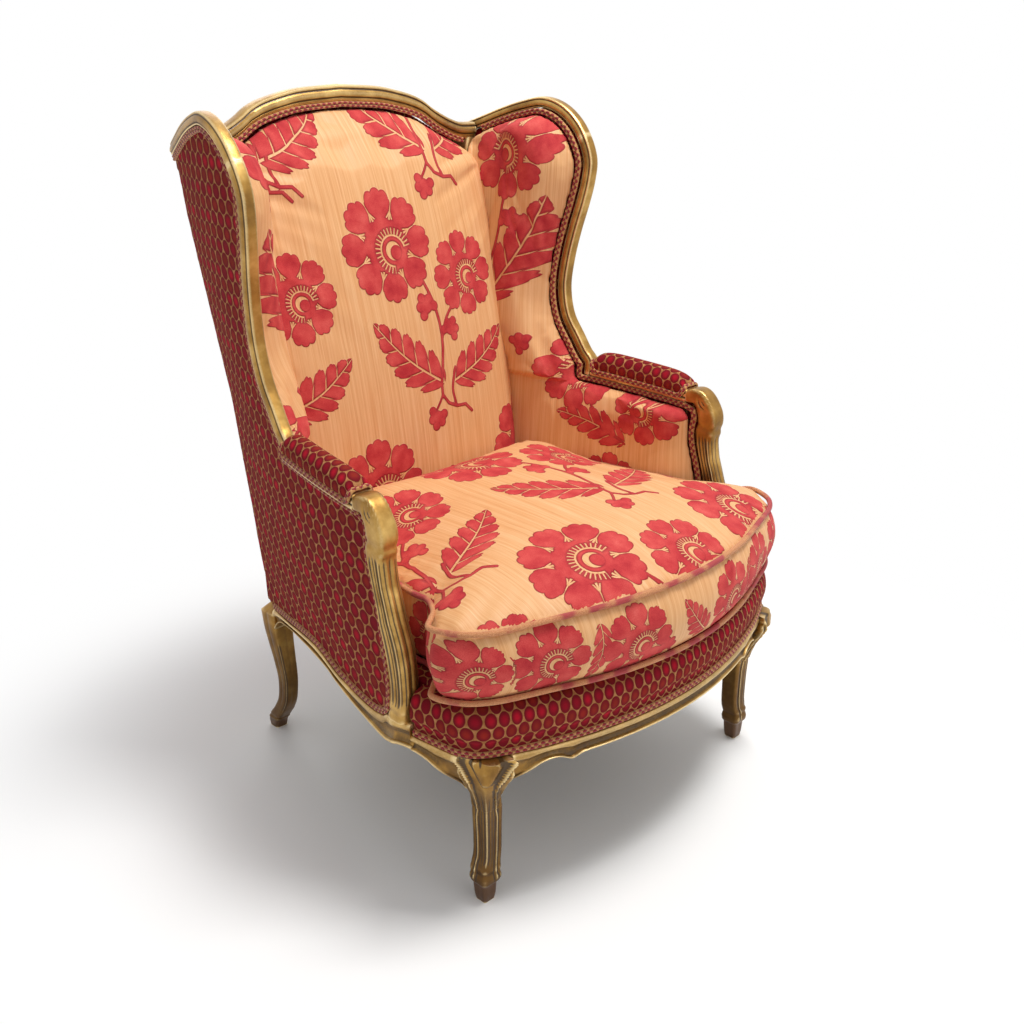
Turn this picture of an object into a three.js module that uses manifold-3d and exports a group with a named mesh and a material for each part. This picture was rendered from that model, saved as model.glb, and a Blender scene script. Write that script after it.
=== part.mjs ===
// Winged armchair with closed upholstered sides and a loose seat cushion, on a carved and gilded wood frame.
// +X is to the right of someone facing the chair, -Y is the front, +Z is up, and the floor is at Z zero.
// The right half is modelled and the left half is its mirror image.
import * as THREE from 'three';
import Manifolds from 'manifold-3d';

const solids = await Manifolds();
solids.setup();

// Clearance between neighbouring pieces, and where two curved pieces meet.
const joint = 0.3;
const looseFit = 1;

// Overall sizes, in millimetres. Depths are measured along Y from the middle of the seat.
const armSpread = 732;          // between the centres of the two arm posts
const armLineY = -200;          // depth of the arm posts' heads
const railLevel = 288;          // top of the gilded moulding at the back of the seat
const armLevel = 626;           // where the wings rise from the arms
const crestLevel = 1023;        // outer top corners of the back
const crownLevel = 1115;        // top of the crest rail
const backCornerY = 371;        // outer top corners of the back
const backRake = 82;            // how far the back leans from the seat to its top corners

// How far each side draws in from the arm posts, half way back and at the back, at three heights.
const sideRun = 500;
const railMidInset = 52;
const railRearInset = 115;
const armMidInset = 27;
const armRearInset = 95;
const crestMidInset = 4;
const crestRearInset = 50;
const sideBendY = -212;         // ahead of this depth it draws in again, to the front corner
const kneeInset = 42;

// Seat rails
const seatFrontY = -438;        // middle of the bowed front rail
const frontBow = 82;
const frontCornerInset = 41;     // corner of the front rail, inwards from an arm post's centre
const frontCornerX = armSpread / 2 - frontCornerInset;
const kneeRun = 154;            // from that bend forward to the front corner
const railTopZ = 318;
const railInside = 32;          // inner face of a side rail, from the line of the side
const coverProud = 0;           // outer face of the wood under the fabric, from the line of the side
const mouldProud = 14;          // outer face of the gilded moulding
const mouldBevel = 7;
const frontRailDepth = 36;
const rearRailDepth = 32;
const rearRailLow = 244;
const mouldLowZ = 260;          // lowest part of the side moulding's upper edge
const mouldRise = 29;
const archTopZ = 261;           // top of the arch under a side rail
const archDrop = 39;            // from there down to the cusp by the front leg
const frontLowZ = 236;
const frontMouldTopZ = 262;
const cuspX = 208;
const cuspDrop = 6;
const kneeSetShare = 0.36;       // how far back along its kick the rear leg's knee stands

// Legs
const frontFootInset = 57;       // the feet, inwards from an arm post's centre
const rearFootInset = 109;
const frontFootX = armSpread / 2 - frontFootInset;
const frontFootY = -324;
const rearFootX = armSpread / 2 - rearFootInset;
const rearFootY = 296;
const rearKneeZ = 250;
const legHalf = 14;
const kneeHalf = 28;
const rearKneeHalf = 21.5;
const kneeOutX = 13;            // how far the front knee stands out past the foot
const kneeOutY = 14;
const rearFootKick = 46;        // how far the rear foot kicks back from the ankle
const frontBlockHalf = 15.5;    // the square top of the front leg, between the rails

// Posts, arms, wings and crest
const postHalf = 17;
const postSweep = 35;           // how far the arm post curves forward on its way down
const stileOut = 0;
const stileIn = 28;
const stileDepth = 34;
const wingRailHalf = 9.5;       // half the wing rail's width in the plane of the side
const wingAcross = 12;          // and across it
const wingFootY = 60;
const wingDepth = backCornerY - wingFootY;
const wingRise = 453;
const wingTipHalf = 8.5;        // half the height of the wing rail where it ends at the back
const armRailDrop = 16;         // slope of the arm rail from the wing to the post
const armRailThick = 23;
const armRailFrontY = -152;
const armRailRearY = wingFootY - wingRailHalf - joint;
const crestHalf = 13;
const crestDepthHalf = 16;
const crestY = 350;
const crestCurve = 11;          // how far its ends stand ahead of its middle
const crestDrop = 72;           // from its top down to the valleys beside the wings
const crestEndInset = 69;        // ends of the crest rail, inwards from an arm post's centre
const crestHalfWidth = armSpread / 2 - crestEndInset;

// Upholstery
const panelIn = 0.6;             // inner and outer faces of the outside panels, from the line of the side
const panelOut = 7;
const padOuter = 10;            // faces of the inner side pads, inwards from the line of the side
const padInner = 45;
const padEdge = 20;             // the pad's face at its outline, before it swells to its full thickness
const padRoll = 34;             // distance over which it swells
const borderLedge = 18.6;       // how far the border turns in over the rail's top
const innerBackFootY = 148;     // front face of the inner back where the seat deck meets it
const innerBackMid = 56;        // how far that face has leant back half way up
const innerBackLean = 152;      // and at the top
const innerBackRise = 720;
const backCrown = 12;
const deckTopZ = 345;
const deckInset = 19;           // edge of the deck, inwards from the line of the side
const hessianThick = 1.7;
const borderTopZ = 340;
const borderBase = 8;           // outer face of the border at its foot, from the line of the side
const borderSwell = 9;
const cornerPull = 5;           // how far the border's line cuts the corner over the knee
const armPadFrontY = -138;
const armPadRearY = 32;
const armPadBase = 12;
const armPadRise = 27;
const outerBackThick = 8;

// Cushion
const cushionTopZ = 441;        // top welt
const cushionCrown = 50;
const cushionFrontY = -438;     // the welts' centre line, at the middle of the front
const cushionBow = 100;         // how far that line bows ahead of the front corners
const cushionEarInset = 25;     // the front corners stand out past the arms, to this far inside a post's centre
const cushionEarX = armSpread / 2 - cushionEarInset;
const cushionEarY = -268;
const cushionGap = 2;           // between the welts and the pads around them
const cushionRearCorner = 34;
const cushionDraw = 7;          // how far the back edge pulls in between its corners
const cushionLift = 6.5;        // bottom welt's centre, above the deck
const weltR = 4.2;

// Inside the seat and back
const webZ = 268;
const webThick = 2.4;
const strapWidth = 62;
const strapGap = 34;
const webEdge = 14;             // edge of the back's hessian on the stiles, inwards from the line of the side
const dustZ = 263.5;
const dustThick = 1.2;
const springR = 40;
const springWaistR = 27;
const springWireR = 2;
const springTurns = 3;
const springOffsetX = 130;
const springOffsetY = 130;
const springCentreY = -95;
const blockTopZ = 308;
const blockLowZ = 274;
const blockLeg = 60;
const tackLowZ = 350;
const tackHighZ = 376;
const lowBackRailZ = 372;
const lowBackRailHeight = 34;
const gimpProud = 4;
const gimpDeep = 7;
const gimpHalf = 4.6;
const gimpClear = 0.4;
const gimpWidth = 2 * gimpHalf + 4 * gimpClear;
const zipLengthShare = 0.52;
const zipLength = zipLengthShare * armSpread;
const zipHeight = 12;
const zipThick = 2;

// Outlines as shares: across the depth of a piece first, then up its height.
const wingShares = [
  [0, 0], [0.042, 0.034], [0.098, 0.093], [0.175, 0.177], [0.212, 0.289], [0.2, 0.404],
  [0.166, 0.519], [0.121, 0.631], [0.094, 0.715], [0.09, 0.795], [0.17, 0.903], [0.289, 0.972],
  [0.421, 1], [0.553, 0.987], [0.691, 0.96], [0.85, 0.92], [1, 0.884],
];
const wingStileEndShare = 0.6;  // the wing stile gives way to the top rail this far along the curve
const postShares = [
  [0, 0.995], [0.1, 0.9], [0, 0.78], [0.15, 0.67], [0.42, 0.56], [0.62, 0.47],
  [0.83, 0.36], [0.96, 0.25], [1, 0.13], [0.86, 0],
];
const crestShares = [
  [0, 0], [0.28, 0.07], [0.41, 0.165], [0.52, 0.28], [0.6, 0.415], [0.67, 0.6],
  [0.745, 0.765], [0.82, 0.9], [0.893, 0.985], [1, 1],
];
// Leg sections: height share, sideways and depth offset shares, half width share.
const frontLegShares = [
  [0, 0, 0, 0.86], [0.04, 0, 0, 1], [0.085, 0, 0, 1.06], [0.13, 0, 0.1, 1.16],
  [0.17, 0, 0.12, 1.18], [0.21, -0.25, 0, 1.12], [0.28, -0.5, 0, 1.08], [0.44, -0.5, 0.04, 1.12],
  [0.58, -0.3, 0.2, 1.24], [0.68, 0.2, 0.5, 1.42], [0.76, 0.64, 0.8, 1.62],
  [0.82, 1, 1, 2],
];
const rearLegShares = [
  [0, 0, 1, 0.86], [0.05, 0, 0.98, 0.98], [0.12, 0, 0.76, 1.1], [0.2, 0, 0.42, 1.06],
  [0.32, 0, 0.1, 1], [0.46, 0, 0, 1.03], [0.6, 0, 0.1, 1.14], [0.74, 0.2, 0.24, 1.3],
  [0.87, 0.6, 0.33, 1.46], [1, 1, 0.36, 1.54],
];
// Lower edge of a side rail from the rear leg forward: share of the run, share of the drop below the arch top.
const sideLowShares = [
  [0, 0.35], [0.08, 0.1], [0.2, -0.14], [0.33, -0.18], [0.43, -0.12], [0.49, 0.05], [0.6, 0.28],
  [0.7, 0.42], [0.78, 0.5], [0.81, 0.42], [0.85, 0.32], [0.91, 0.42], [0.96, 0.5], [1, 0.7],
];
const sideTopShares = [
  [0, 0.1], [0.13, 0.42], [0.35, 0.85], [0.52, 0.45], [0.61, 0.38], [0.7, 0.41], [0.77, 0.65],
  [0.81, 1], [0.845, 0.95], [0.877, 0.41], [0.92, 0.27], [0.967, 0.14], [1, 0.07],
];
const railRunShares = [0, 0.15, 0.3, 0.45, 0.6, 0.75, 0.89, 1];

const woodColour = '#b59a4f';
const beechColour = '#b98f5e';
const velvetColour = '#cf7f55';
const dotColour = '#9a2f2c';
const juteColour = '#a58a5f';

// Curves and interpolation

const clamp01 = (t) => Math.min(1, Math.max(0, t));
const mix = THREE.MathUtils.lerp;
const smooth = (t) => clamp01(t) ** 2 * (3 - 2 * clamp01(t));

// The curve through zero at 0, mid at a half and end at 1.
function bend(t, mid, end) {
  return t * (4 * mid - end) + t * t * (2 * end - 4 * mid);
}

// Straight-line reading of a table of [x, y] pairs whose x rises.
function readTable(table, x) {
  const last = table.length - 1;
  if (x <= table[0][0]) return table[0][1];
  if (x >= table[last][0]) return table[last][1];
  const i = table.findIndex((row) => row[0] > x) - 1;
  const [x0, y0] = table[i];
  const [x1, y1] = table[i + 1];
  return mix(y0, y1, (x - x0) / (x1 - x0));
}

function smoothPlanePoints(pairs, count) {
  const curve = new THREE.CatmullRomCurve3(pairs.map(([a, b]) => new THREE.Vector3(0, a, b)), false, 'centripetal');
  return curve.getSpacedPoints(count);
}

function byLevel(z, low, middle, high) {
  if (z < armLevel) return mix(low, middle, clamp01((z - railLevel) / (armLevel - railLevel)));
  return mix(middle, high, (z - armLevel) / (crestLevel - armLevel));
}

// The line of the side: half the chair's width at a depth and height.
function sideX(y, z) {
  if (y < sideBendY) return sideX(sideBendY, z) - (kneeInset * (sideBendY - y)) / kneeRun;
  const t = (y - armLineY) / sideRun;
  const inset = bend(t, byLevel(z, railMidInset, armMidInset, crestMidInset),
    byLevel(z, railRearInset, armRearInset, crestRearInset));
  return armSpread / 2 - inset;
}

const frontY = (x) => seatFrontY + frontBow * (x / frontCornerX) ** 2;
const outerBackY = (z) => backCornerY - backRake * (1 - smooth((z - railLevel) / (crestLevel - railLevel)));
const stileRearY = (z) => outerBackY(z) - outerBackThick - joint;
const stileFrontY = (z) => stileRearY(z) - stileDepth;
const innerBackY = (z) => innerBackFootY + bend((z - deckTopZ) / innerBackRise, innerBackMid, innerBackLean);
const armTopZ = (y) => armLevel - armRailDrop * clamp01((armRailRearY - y) / (armRailRearY - armRailFrontY));

// Solids

function faceIndices(ringCount, pointCount, closed) {
  const index = [];
  const bands = closed ? ringCount : ringCount - 1;
  for (let i = 0; i < bands; i++) {
    const next = (i + 1) % ringCount;
    for (let j = 0; j < pointCount; j++) {
      const k = (j + 1) % pointCount;
      const a = i * pointCount + j;
      const b = i * pointCount + k;
      const c = next * pointCount + k;
      const d = next * pointCount + j;
      index.push(a, b, c, a, c, d);
    }
  }
  return index;
}

// The triangles that close one end ring, worked out in the ring's own plane.
function capIndices(ring, offset) {
  const normal = new THREE.Vector3();
  ring.forEach((p, i) => normal.add(new THREE.Vector3().crossVectors(p, ring[(i + 1) % ring.length])));
  normal.normalize();
  const across = new THREE.Vector3().subVectors(ring[1], ring[0]);
  across.addScaledVector(normal, -across.dot(normal)).normalize();
  const up = new THREE.Vector3().crossVectors(normal, across);
  const flat = ring.map((p) => new THREE.Vector2(p.dot(across), p.dot(up)));
  return THREE.ShapeUtils.triangulateShape(flat, []).flat().map((i) => i + offset);
}

function signedVolume(points, index) {
  let volume = 0;
  const cross = new THREE.Vector3();
  for (let i = 0; i < index.length; i += 3) {
    const [a, b, c] = [points[index[i]], points[index[i + 1]], points[index[i + 2]]];
    volume += cross.crossVectors(a, b).dot(c);
  }
  return volume;
}

// The end of a slab: its front row joined straight across to its rear row.
function stripIndices(pointCount, offset) {
  const index = [];
  for (let i = 0; i < pointCount / 2 - 1; i++) {
    const [a, b, c, d] = [i, i + 1, pointCount - 2 - i, pointCount - 1 - i].map((k) => k + offset);
    index.push(a, b, c, a, c, d);
  }
  return index;
}

// A closed solid from rings of points. Its ends are flat caps or slab strips, or the rings go round in a loop.
function loft(rings, ends = 'flat') {
  const pointCount = rings[0].length;
  const points = rings.flat();
  const lastStart = (rings.length - 1) * pointCount;
  const index = faceIndices(rings.length, pointCount, ends === 'loop');
  if (ends === 'flat') index.push(...capIndices(rings[0], 0).reverse(), ...capIndices(rings.at(-1), lastStart));
  if (ends === 'slab') index.push(...stripIndices(pointCount, 0).reverse(), ...stripIndices(pointCount, lastStart));
  if (signedVolume(points, index) < 0) index.reverse();
  const geometry = new THREE.BufferGeometry().setFromPoints(points);
  geometry.setIndex(index);
  return geometry;
}

// A row across the front of a slab and back along its rear face makes one ring.
const slabRing = (front, back) => [...front, ...back.reverse()];

const chair = new THREE.Group();

function addMesh(name, geometry, colour, roughness, metalness) {
  const flat = geometry.index ? geometry.toNonIndexed() : geometry;
  flat.computeVertexNormals();
  const mesh = new THREE.Mesh(flat, new THREE.MeshStandardMaterial({ color: colour, roughness, metalness }));
  mesh.name = name;
  chair.add(mesh);
  return mesh;
}

function addPair(name, geometry, colour, roughness, metalness) {
  addMesh(`${name}_right`, geometry, colour, roughness, metalness);
  const left = addMesh(`${name}_left`, geometry.clone(), colour, roughness, metalness);
  left.scale.x = -1;
}

const gilded = [woodColour, 0.4, 0.8];
const bareWood = [beechColour, 0.7, 0];
const velvet = [velvetColour, 0.9, 0];
const dotted = [dotColour, 0.9, 0];
const jute = [juteColour, 0.95, 0];

// Square section with cut corners, level at height z.
const cornerCutShare = 0.45;
function postRing(x, y, z, halfX, halfY) {
  const cutX = halfX * (1 - cornerCutShare);
  const cutY = halfY * (1 - cornerCutShare);
  return [[halfX, cutY], [cutX, halfY], [-cutX, halfY], [-halfX, cutY],
    [-halfX, -cutY], [-cutX, -halfY], [cutX, -halfY], [halfX, -cutY]]
    .map(([dx, dy]) => new THREE.Vector3(x + dx, y + dy, z));
}

// Section square to a path in the side's own plane: halves across the side and in it.
function sideRing(point, tangent, halfX, halfN) {
  const x = sideX(point.y, point.z);
  const cutX = halfX * (1 - cornerCutShare);
  const cutN = halfN * (1 - cornerCutShare);
  return [[halfX, cutN], [cutX, halfN], [-cutX, halfN], [-halfX, cutN],
    [-halfX, -cutN], [-cutX, -halfN], [cutX, -halfN], [halfX, -cutN]]
    .map(([dx, n]) => new THREE.Vector3(x + dx, point.y - tangent.z * n, point.z + tangent.y * n));
}

function tangentAt(points, i) {
  const before = points[Math.max(0, i - 1)];
  const after = points[Math.min(points.length - 1, i + 1)];
  return new THREE.Vector3().subVectors(after, before).normalize();
}

// Heights of the back stiles' sections, shared by the panel behind them.
const stileTopZ = crestLevel - wingRailHalf;
const stileLevels = Array.from({ length: 13 }, (_, i) => mix(frontMouldTopZ + joint, stileTopZ - stileDepth, i / 12));

// Where the rails meet the legs.
const frontRailEnd = frontFootX + kneeOutX - kneeHalf - joint;
const sideRailFrontY = frontFootY - kneeOutY + kneeHalf + joint;
const rearLegFrontY = rearFootY - rearFootKick * (1 - kneeSetShare) - rearKneeHalf;

// Legs: the rear leg and the stile of the back are one piece.

function makeFrontLeg() {
  const rings = frontLegShares.map(([height, outX, outY, half]) => {
    const size = half * legHalf;
    return postRing(frontFootX + outX * kneeOutX, frontFootY - outY * kneeOutY, height * railTopZ, size, size);
  });
  const blockX = frontRailEnd + joint + frontBlockHalf;
  const blockY = sideRailFrontY - joint - frontBlockHalf;
  rings.push(postRing(blockX, blockY, frontMouldTopZ + joint, frontBlockHalf, frontBlockHalf));
  rings.push(postRing(blockX, blockY, railTopZ, frontBlockHalf, frontBlockHalf));
  addPair('front_leg', loft(rings), ...gilded);
}

function makeRearLeg() {
  const kneeX = sideX(rearLegFrontY, railLevel) + mouldProud - rearKneeHalf;
  const ankleY = rearFootY - rearFootKick;
  const rings = rearLegShares.map(([height, outX, kick, half]) => {
    const size = half * legHalf;
    return postRing(mix(rearFootX, kneeX, outX), ankleY + kick * rearFootKick, height * rearKneeZ, size, size);
  });
  for (const z of stileLevels) rings.push(stileRing(z));
  rings.push(stileRing(stileTopZ).map((p) => onSide(stileOffset(p), p.y, Math.min(wingUnderZ(p.y), crestUnderZ(crestHalfWidth)))));
  addPair('rear_leg', loft(rings), ...gilded);
}

const onSide = (out, y, z) => new THREE.Vector3(sideX(y, z) + out, y, z);
const stileOffset = (p) => p.x - sideX(p.y, p.z);

// The stile's section leans with the line of the side.
function stileRing(z) {
  const half = (stileIn + stileOut) / 2;
  const y = stileFrontY(z) + stileDepth / 2;
  return postRing(stileOut - half, y, z, half, stileDepth / 2).map((p) => onSide(p.x, p.y, z));
}

// Seat rails: a gilded moulding stands proud along the lower edge of each.

function railRing(place, low, mouldTop, faces) {
  const { proud, cover, inside, top } = faces;
  const bevel = Math.min(mouldBevel, (mouldTop - low) / 4);
  return [place(inside, low), place(proud - bevel, low), place(proud, low + bevel), place(proud, mouldTop - bevel),
    place(proud - bevel, mouldTop), place(cover, mouldTop), place(cover, top), place(inside, top)];
}

function sideLowZ(y) {
  const along = (rearLegFrontY - y) / (rearLegFrontY - sideRailFrontY);
  return archTopZ - archDrop * readTable(sideLowShares, along);
}

function sideMouldTopZ(y) {
  const along = (rearLegFrontY - y) / (rearLegFrontY - sideRailFrontY);
  return mouldLowZ + mouldRise * readTable(sideTopShares, along);
}

// Under the foot of the arm post the whole rail stops level with its moulding.
function sideRailRing(y, underPost) {
  const top = underPost ? postFootZ - joint : railTopZ;
  const mouldTop = underPost ? top : sideMouldTopZ(y);
  const place = (out, z) => new THREE.Vector3(sideX(y, railLevel) + out, y, z);
  const cover = underPost ? 0 : coverProud;
  const ring = railRing(place, sideLowZ(y), mouldTop, { proud: mouldProud, cover, inside: -railInside, top });
  if (underPost) ring[6] = place(-railInside / 2, top);
  return ring;
}

// Depths of the side rail's sections from the rear leg to the arm post, shared by the panel above it.
const railBehindY = () => railRunShares.map((share) => mix(rearLegFrontY - joint, postHeel + joint, share));

function makeSideRails() {
  const ahead = [0, 0.3, 0.65, 1].map((share) => mix(postToe - joint, sideRailFrontY, share));
  const rings = [
    ...railBehindY().map((y) => sideRailRing(y, false)),
    sideRailRing(postHeel, true),
    sideRailRing(sideBendY, true),
    sideRailRing(postToe, true),
    ...ahead.map((y) => sideRailRing(y, false)),
  ];
  addPair('side_seat_rail', loft(rings), ...gilded);
}

function frontEdgeLowZ(x) {
  const cusp = cuspDrop * Math.exp(-(((Math.abs(x) - cuspX) / cuspDrop / 2) ** 2));
  const arch = Math.max(0, Math.abs(x) - cuspX) / (frontCornerX - cuspX);
  return frontLowZ - cusp + cuspDrop * Math.sin(arch * Math.PI);
}

function makeFrontRail() {
  const sections = 26;
  const rings = [];
  for (let i = 0; i <= sections; i++) {
    const x = mix(-frontRailEnd, frontRailEnd, i / sections);
    const place = (out, z) => new THREE.Vector3(x, frontY(x) - out + mouldProud, z);
    rings.push(railRing(place, frontEdgeLowZ(x), frontMouldTopZ,
      { proud: mouldProud, cover: coverProud, inside: mouldProud - frontRailDepth, top: railTopZ }));
  }
  addMesh('front_seat_rail', loft(rings), ...gilded);
}

function makeRearRail() {
  const face = stileRearY(railLevel) - coverProud;
  const end = railRing((out, z) => onSide(-stileIn - looseFit, face + out, z), rearRailLow, frontMouldTopZ,
    { proud: mouldProud, cover: coverProud, inside: -rearRailDepth, top: railTopZ });
  const otherEnd = end.map((p) => new THREE.Vector3(-p.x, p.y, p.z));
  addMesh('rear_seat_rail', loft([otherEnd, end]), ...gilded);
}

// Arm posts sweep down from their scrolled heads to the side rails.

const postHeadZ = armLevel - armRailDrop - armRailThick / 2;
const postFootZ = mouldLowZ + mouldRise + joint;
const postLine = postShares.map(([sweep, height]) => [
  armLineY + postHalf / 2 - sweep * postSweep, mix(postFootZ, postHeadZ, height)]);

function postCentreY(z) {
  const rising = postLine.slice(1).map(([y, height]) => [height, y]).reverse();
  return readTable(rising, z);
}

// Foot of the post: how far back and forward it reaches on the rail.
const postHeel = postCentreY(postFootZ) + postHalf + looseFit;
const postToe = armLineY + postHalf / 2 - postSweep - postHalf - looseFit;

const headSwellShares = [0.68, 0.9, 1.1, 1.14, 1, 0.86, 0.92, 1.05, 1.12, 1.1, 1, 1];
const postHalfAt = (i) => postHalf * headSwellShares[Math.min(i, headSwellShares.length - 1)];
const postPoints = smoothPlanePoints([[armRailFrontY - joint, postHeadZ],
  [mix(armRailFrontY, armLineY, 1 / 2), postHeadZ], ...postLine.slice(1)], 12);

function makeArmPost() {
  const rings = postPoints.map((p, i) => sideRing(p, tangentAt(postPoints, i), postHalf, postHalfAt(i)));
  rings[0] = sideRing(postPoints[0], new THREE.Vector3(0, -1, 0), postHalf, armRailThick / 2);
  rings[rings.length - 1] = sideRing(postPoints.at(-1), new THREE.Vector3(0, 0, -1), postHalf, postHalf);
  addPair('arm_post', loft(rings), ...gilded);
}

function makeArmRail() {
  const rings = [armRailFrontY, armRailRearY].map((y) => {
    const centre = new THREE.Vector3(0, y, armTopZ(y) - armRailThick / 2);
    return sideRing(centre, new THREE.Vector3(0, -1, 0), postHalf, armRailThick / 2);
  });
  addPair('arm_rail', loft(rings), ...gilded);
}

// Wings: the stile rises from the arm in an S, and the top rail carries on back to the corner.

const wingFootZ = armLevel - armRailThick;
const wingPoints = smoothPlanePoints([[wingFootY, wingFootZ],
  ...wingShares.map(([depth, height]) => [wingFootY + depth * wingDepth, armLevel + height * wingRise])], 28);
const wingSplit = Math.round(wingStileEndShare * (wingPoints.length - 1));

function wingHalfAt(i) {
  return mix(wingRailHalf, wingTipHalf, smooth((i - wingSplit) / (wingPoints.length - 1 - wingSplit)));
}

function makeWings() {
  const rings = wingPoints.map((p, i) => sideRing(p, tangentAt(wingPoints, i), wingAcross, wingHalfAt(i)));
  rings[0] = sideRing(wingPoints[0], new THREE.Vector3(0, 0, 1), wingAcross, wingRailHalf);
  rings[rings.length - 1] = sideRing(wingPoints.at(-1), new THREE.Vector3(0, 1, 0), wingAcross, wingTipHalf);
  const stile = rings.slice(0, wingSplit + 1);
  const top = rings.slice(wingSplit);
  const tangent = tangentAt(wingPoints, wingSplit);
  top[0] = top[0].map((p) => p.clone().addScaledVector(tangent, joint));
  addPair('wing_stile', loft(stile), ...gilded);
  addPair('wing_top_rail', loft(top), ...gilded);
}

function crestTopZ(x) {
  return crownLevel - crestDrop * readTable(crestShares, Math.abs(x) / crestHalfWidth);
}

function crestMidY(x) {
  return crestY - crestCurve * (x / crestHalfWidth) ** 2;
}

function makeCrest() {
  const sections = 28;
  const rings = [];
  for (let i = 0; i <= sections; i++) {
    const share = 2 * (i / sections) - 1;
    const nominal = share * crestHalfWidth;
    const z = crestTopZ(nominal) - crestHalf;
    const y = crestMidY(nominal);
    const cutY = crestDepthHalf * (1 - cornerCutShare);
    const cutZ = crestHalf * (1 - cornerCutShare);
    rings.push([[crestDepthHalf, cutZ], [cutY, crestHalf], [-cutY, crestHalf], [-crestDepthHalf, cutZ],
      [-crestDepthHalf, -cutZ], [-cutY, -crestHalf], [cutY, -crestHalf], [crestDepthHalf, -cutZ]]
      .map(([dy, dz]) => {
        const limit = sideX(y + dy, z + dz) - wingAcross - looseFit;
        return new THREE.Vector3(Math.max(-limit, Math.min(limit, nominal)), y + dy, z + dz);
      }));
  }
  addMesh('crest_rail', loft(rings), ...gilded);
}

// Outline of the side's upholstery, a step inside the show wood around it: up the post, along under the arm,
// up the wing to its peak and down to the back corner. Each row of a panel starts at one of its points.

function insideWood(points, halfAt, side, step) {
  return points.map((p, i) => {
    const t = tangentAt(points, i);
    const out = side * (halfAt(i) + step);
    return [p.y + t.z * out, p.z - t.y * out];
  });
}

function woodOutline() {
  const step = gimpClear;
  const wing = insideWood(wingPoints, wingHalfAt, 1, step).filter(([, z]) => z > wingFootZ);
  const under = (y) => [y, armTopZ(y) - armRailThick - step];
  const underArm = [0, 0.25, 0.5, 0.75].map((share) => under(mix(armRailFrontY + step, armRailRearY, share)));
  const post = insideWood(postPoints, postHalfAt, -1, step)
    .filter(([, z]) => z < underArm[0][1] - gimpWidth / 2).reverse();
  return [...post, ...underArm, [wing[0][0], wingFootZ - step], ...wing];
}

// A line moved sideways, towards its right going along, by the same step everywhere.
function movedLine(pairs, step) {
  const last = pairs.length - 1;
  const normal = (i) => {
    const [a, b] = [pairs[i], pairs[i + 1]];
    return new THREE.Vector2(b[1] - a[1], a[0] - b[0]).normalize();
  };
  return pairs.map(([y, z], i) => {
    const before = normal(Math.max(0, i - 1));
    const after = normal(Math.min(last - 1, i));
    const way = before.clone().add(after).normalize();
    return [y + (way.x * step) / way.dot(after), z + (way.y * step) / way.dot(after)];
  });
}

const woodLine = woodOutline();
const woodPeak = woodLine.reduce((best, p, i) => (p[1] > woodLine[best][1] ? i : best), 0);

function sideOutline(step) {
  const path = movedLine(woodLine, step);
  const rising = path.slice(0, woodPeak + 1).filter(([, z], i, all) => i === 0 || z > all[i - 1][1]);
  return { path, rising, falling: path.slice(woodPeak) };
}

const byHeight = (points) => points.map(([y, z]) => [z, y]);
const panelOutline = sideOutline(0);
const padOutline = sideOutline(gimpWidth);

const frontEdgeY = (outline, z) => readTable(byHeight(outline.rising), z);
const wingUnderZ = (y) => readTable(panelOutline.falling, y);

function rearLimitY(outline, z, limit) {
  const falling = byHeight(outline.falling).reverse();
  return z <= falling[0][0] ? limit : Math.min(limit, readTable(falling, z));
}

function sideLevels(outline, bottom) {
  return outline.rising.map(([, z]) => z).filter((z) => z > bottom + gimpWidth);
}

const rowPoints = (depths, zAt, outAt) => depths.map((y) => onSide(outAt(y, zAt(y)), y, zAt(y)));

function makeOuterSidePanels() {
  const bottomFront = postHeel - joint;
  const rear = (z) => stileRearY(z) - looseFit;
  const bottomRow = [rear(railLevel), ...railBehindY().slice(0, -1), bottomFront];
  const shares = bottomRow.map((y) => (y - bottomRow[0]) / (bottomFront - bottomRow[0]));
  const row = (depths, zAt) => slabRing(rowPoints(depths, zAt, () => panelOut), rowPoints(depths, zAt, () => panelIn));
  const rings = [row(bottomRow, (y) => sideMouldTopZ(Math.min(y, rearLegFrontY)) + 2 * joint)];
  for (const z of sideLevels(panelOutline, postFootZ)) {
    const ends = [rearLimitY(panelOutline, z, rear(z)), frontEdgeY(panelOutline, z)];
    rings.push(row(shares.map((share) => mix(...ends, share)), () => z));
  }
  addPair('outer_side_panel', loft(rings, 'slab'), ...dotted);
}

// The inner side pads swell from their outline to their full thickness.
const padColumnShares = [0.2, 0.4, 0.6, 0.8, 1];

function padSwell(y, z, front) {
  const fromTop = readTable(padOutline.falling, Math.max(y, padOutline.falling[0][0])) - z;
  const edge = clamp01(Math.min(y - front, fromTop) / padRoll);
  return mix(padEdge, padInner, Math.sin((edge * Math.PI) / 2));
}

function makeInnerSidePads() {
  const bottom = deckTopZ + joint;
  const rings = [bottom, ...sideLevels(padOutline, bottom)].map((z) => {
    const front = frontEdgeY(padOutline, z);
    const rear = rearLimitY(padOutline, z, stileFrontY(z) - webThick - looseFit);
    const roll = Math.min(padRoll, (rear - front) / 2);
    const depths = [front, front + roll / 3, front + roll, ...padColumnShares.map((share) => mix(front + roll, rear, share))];
    return slabRing(rowPoints(depths, () => z, (y) => -padSwell(y, z, front)), rowPoints(depths, () => z, () => -padOuter));
  });
  addPair('inner_side_pad', loft(rings, 'slab'), ...velvet);
}

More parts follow.
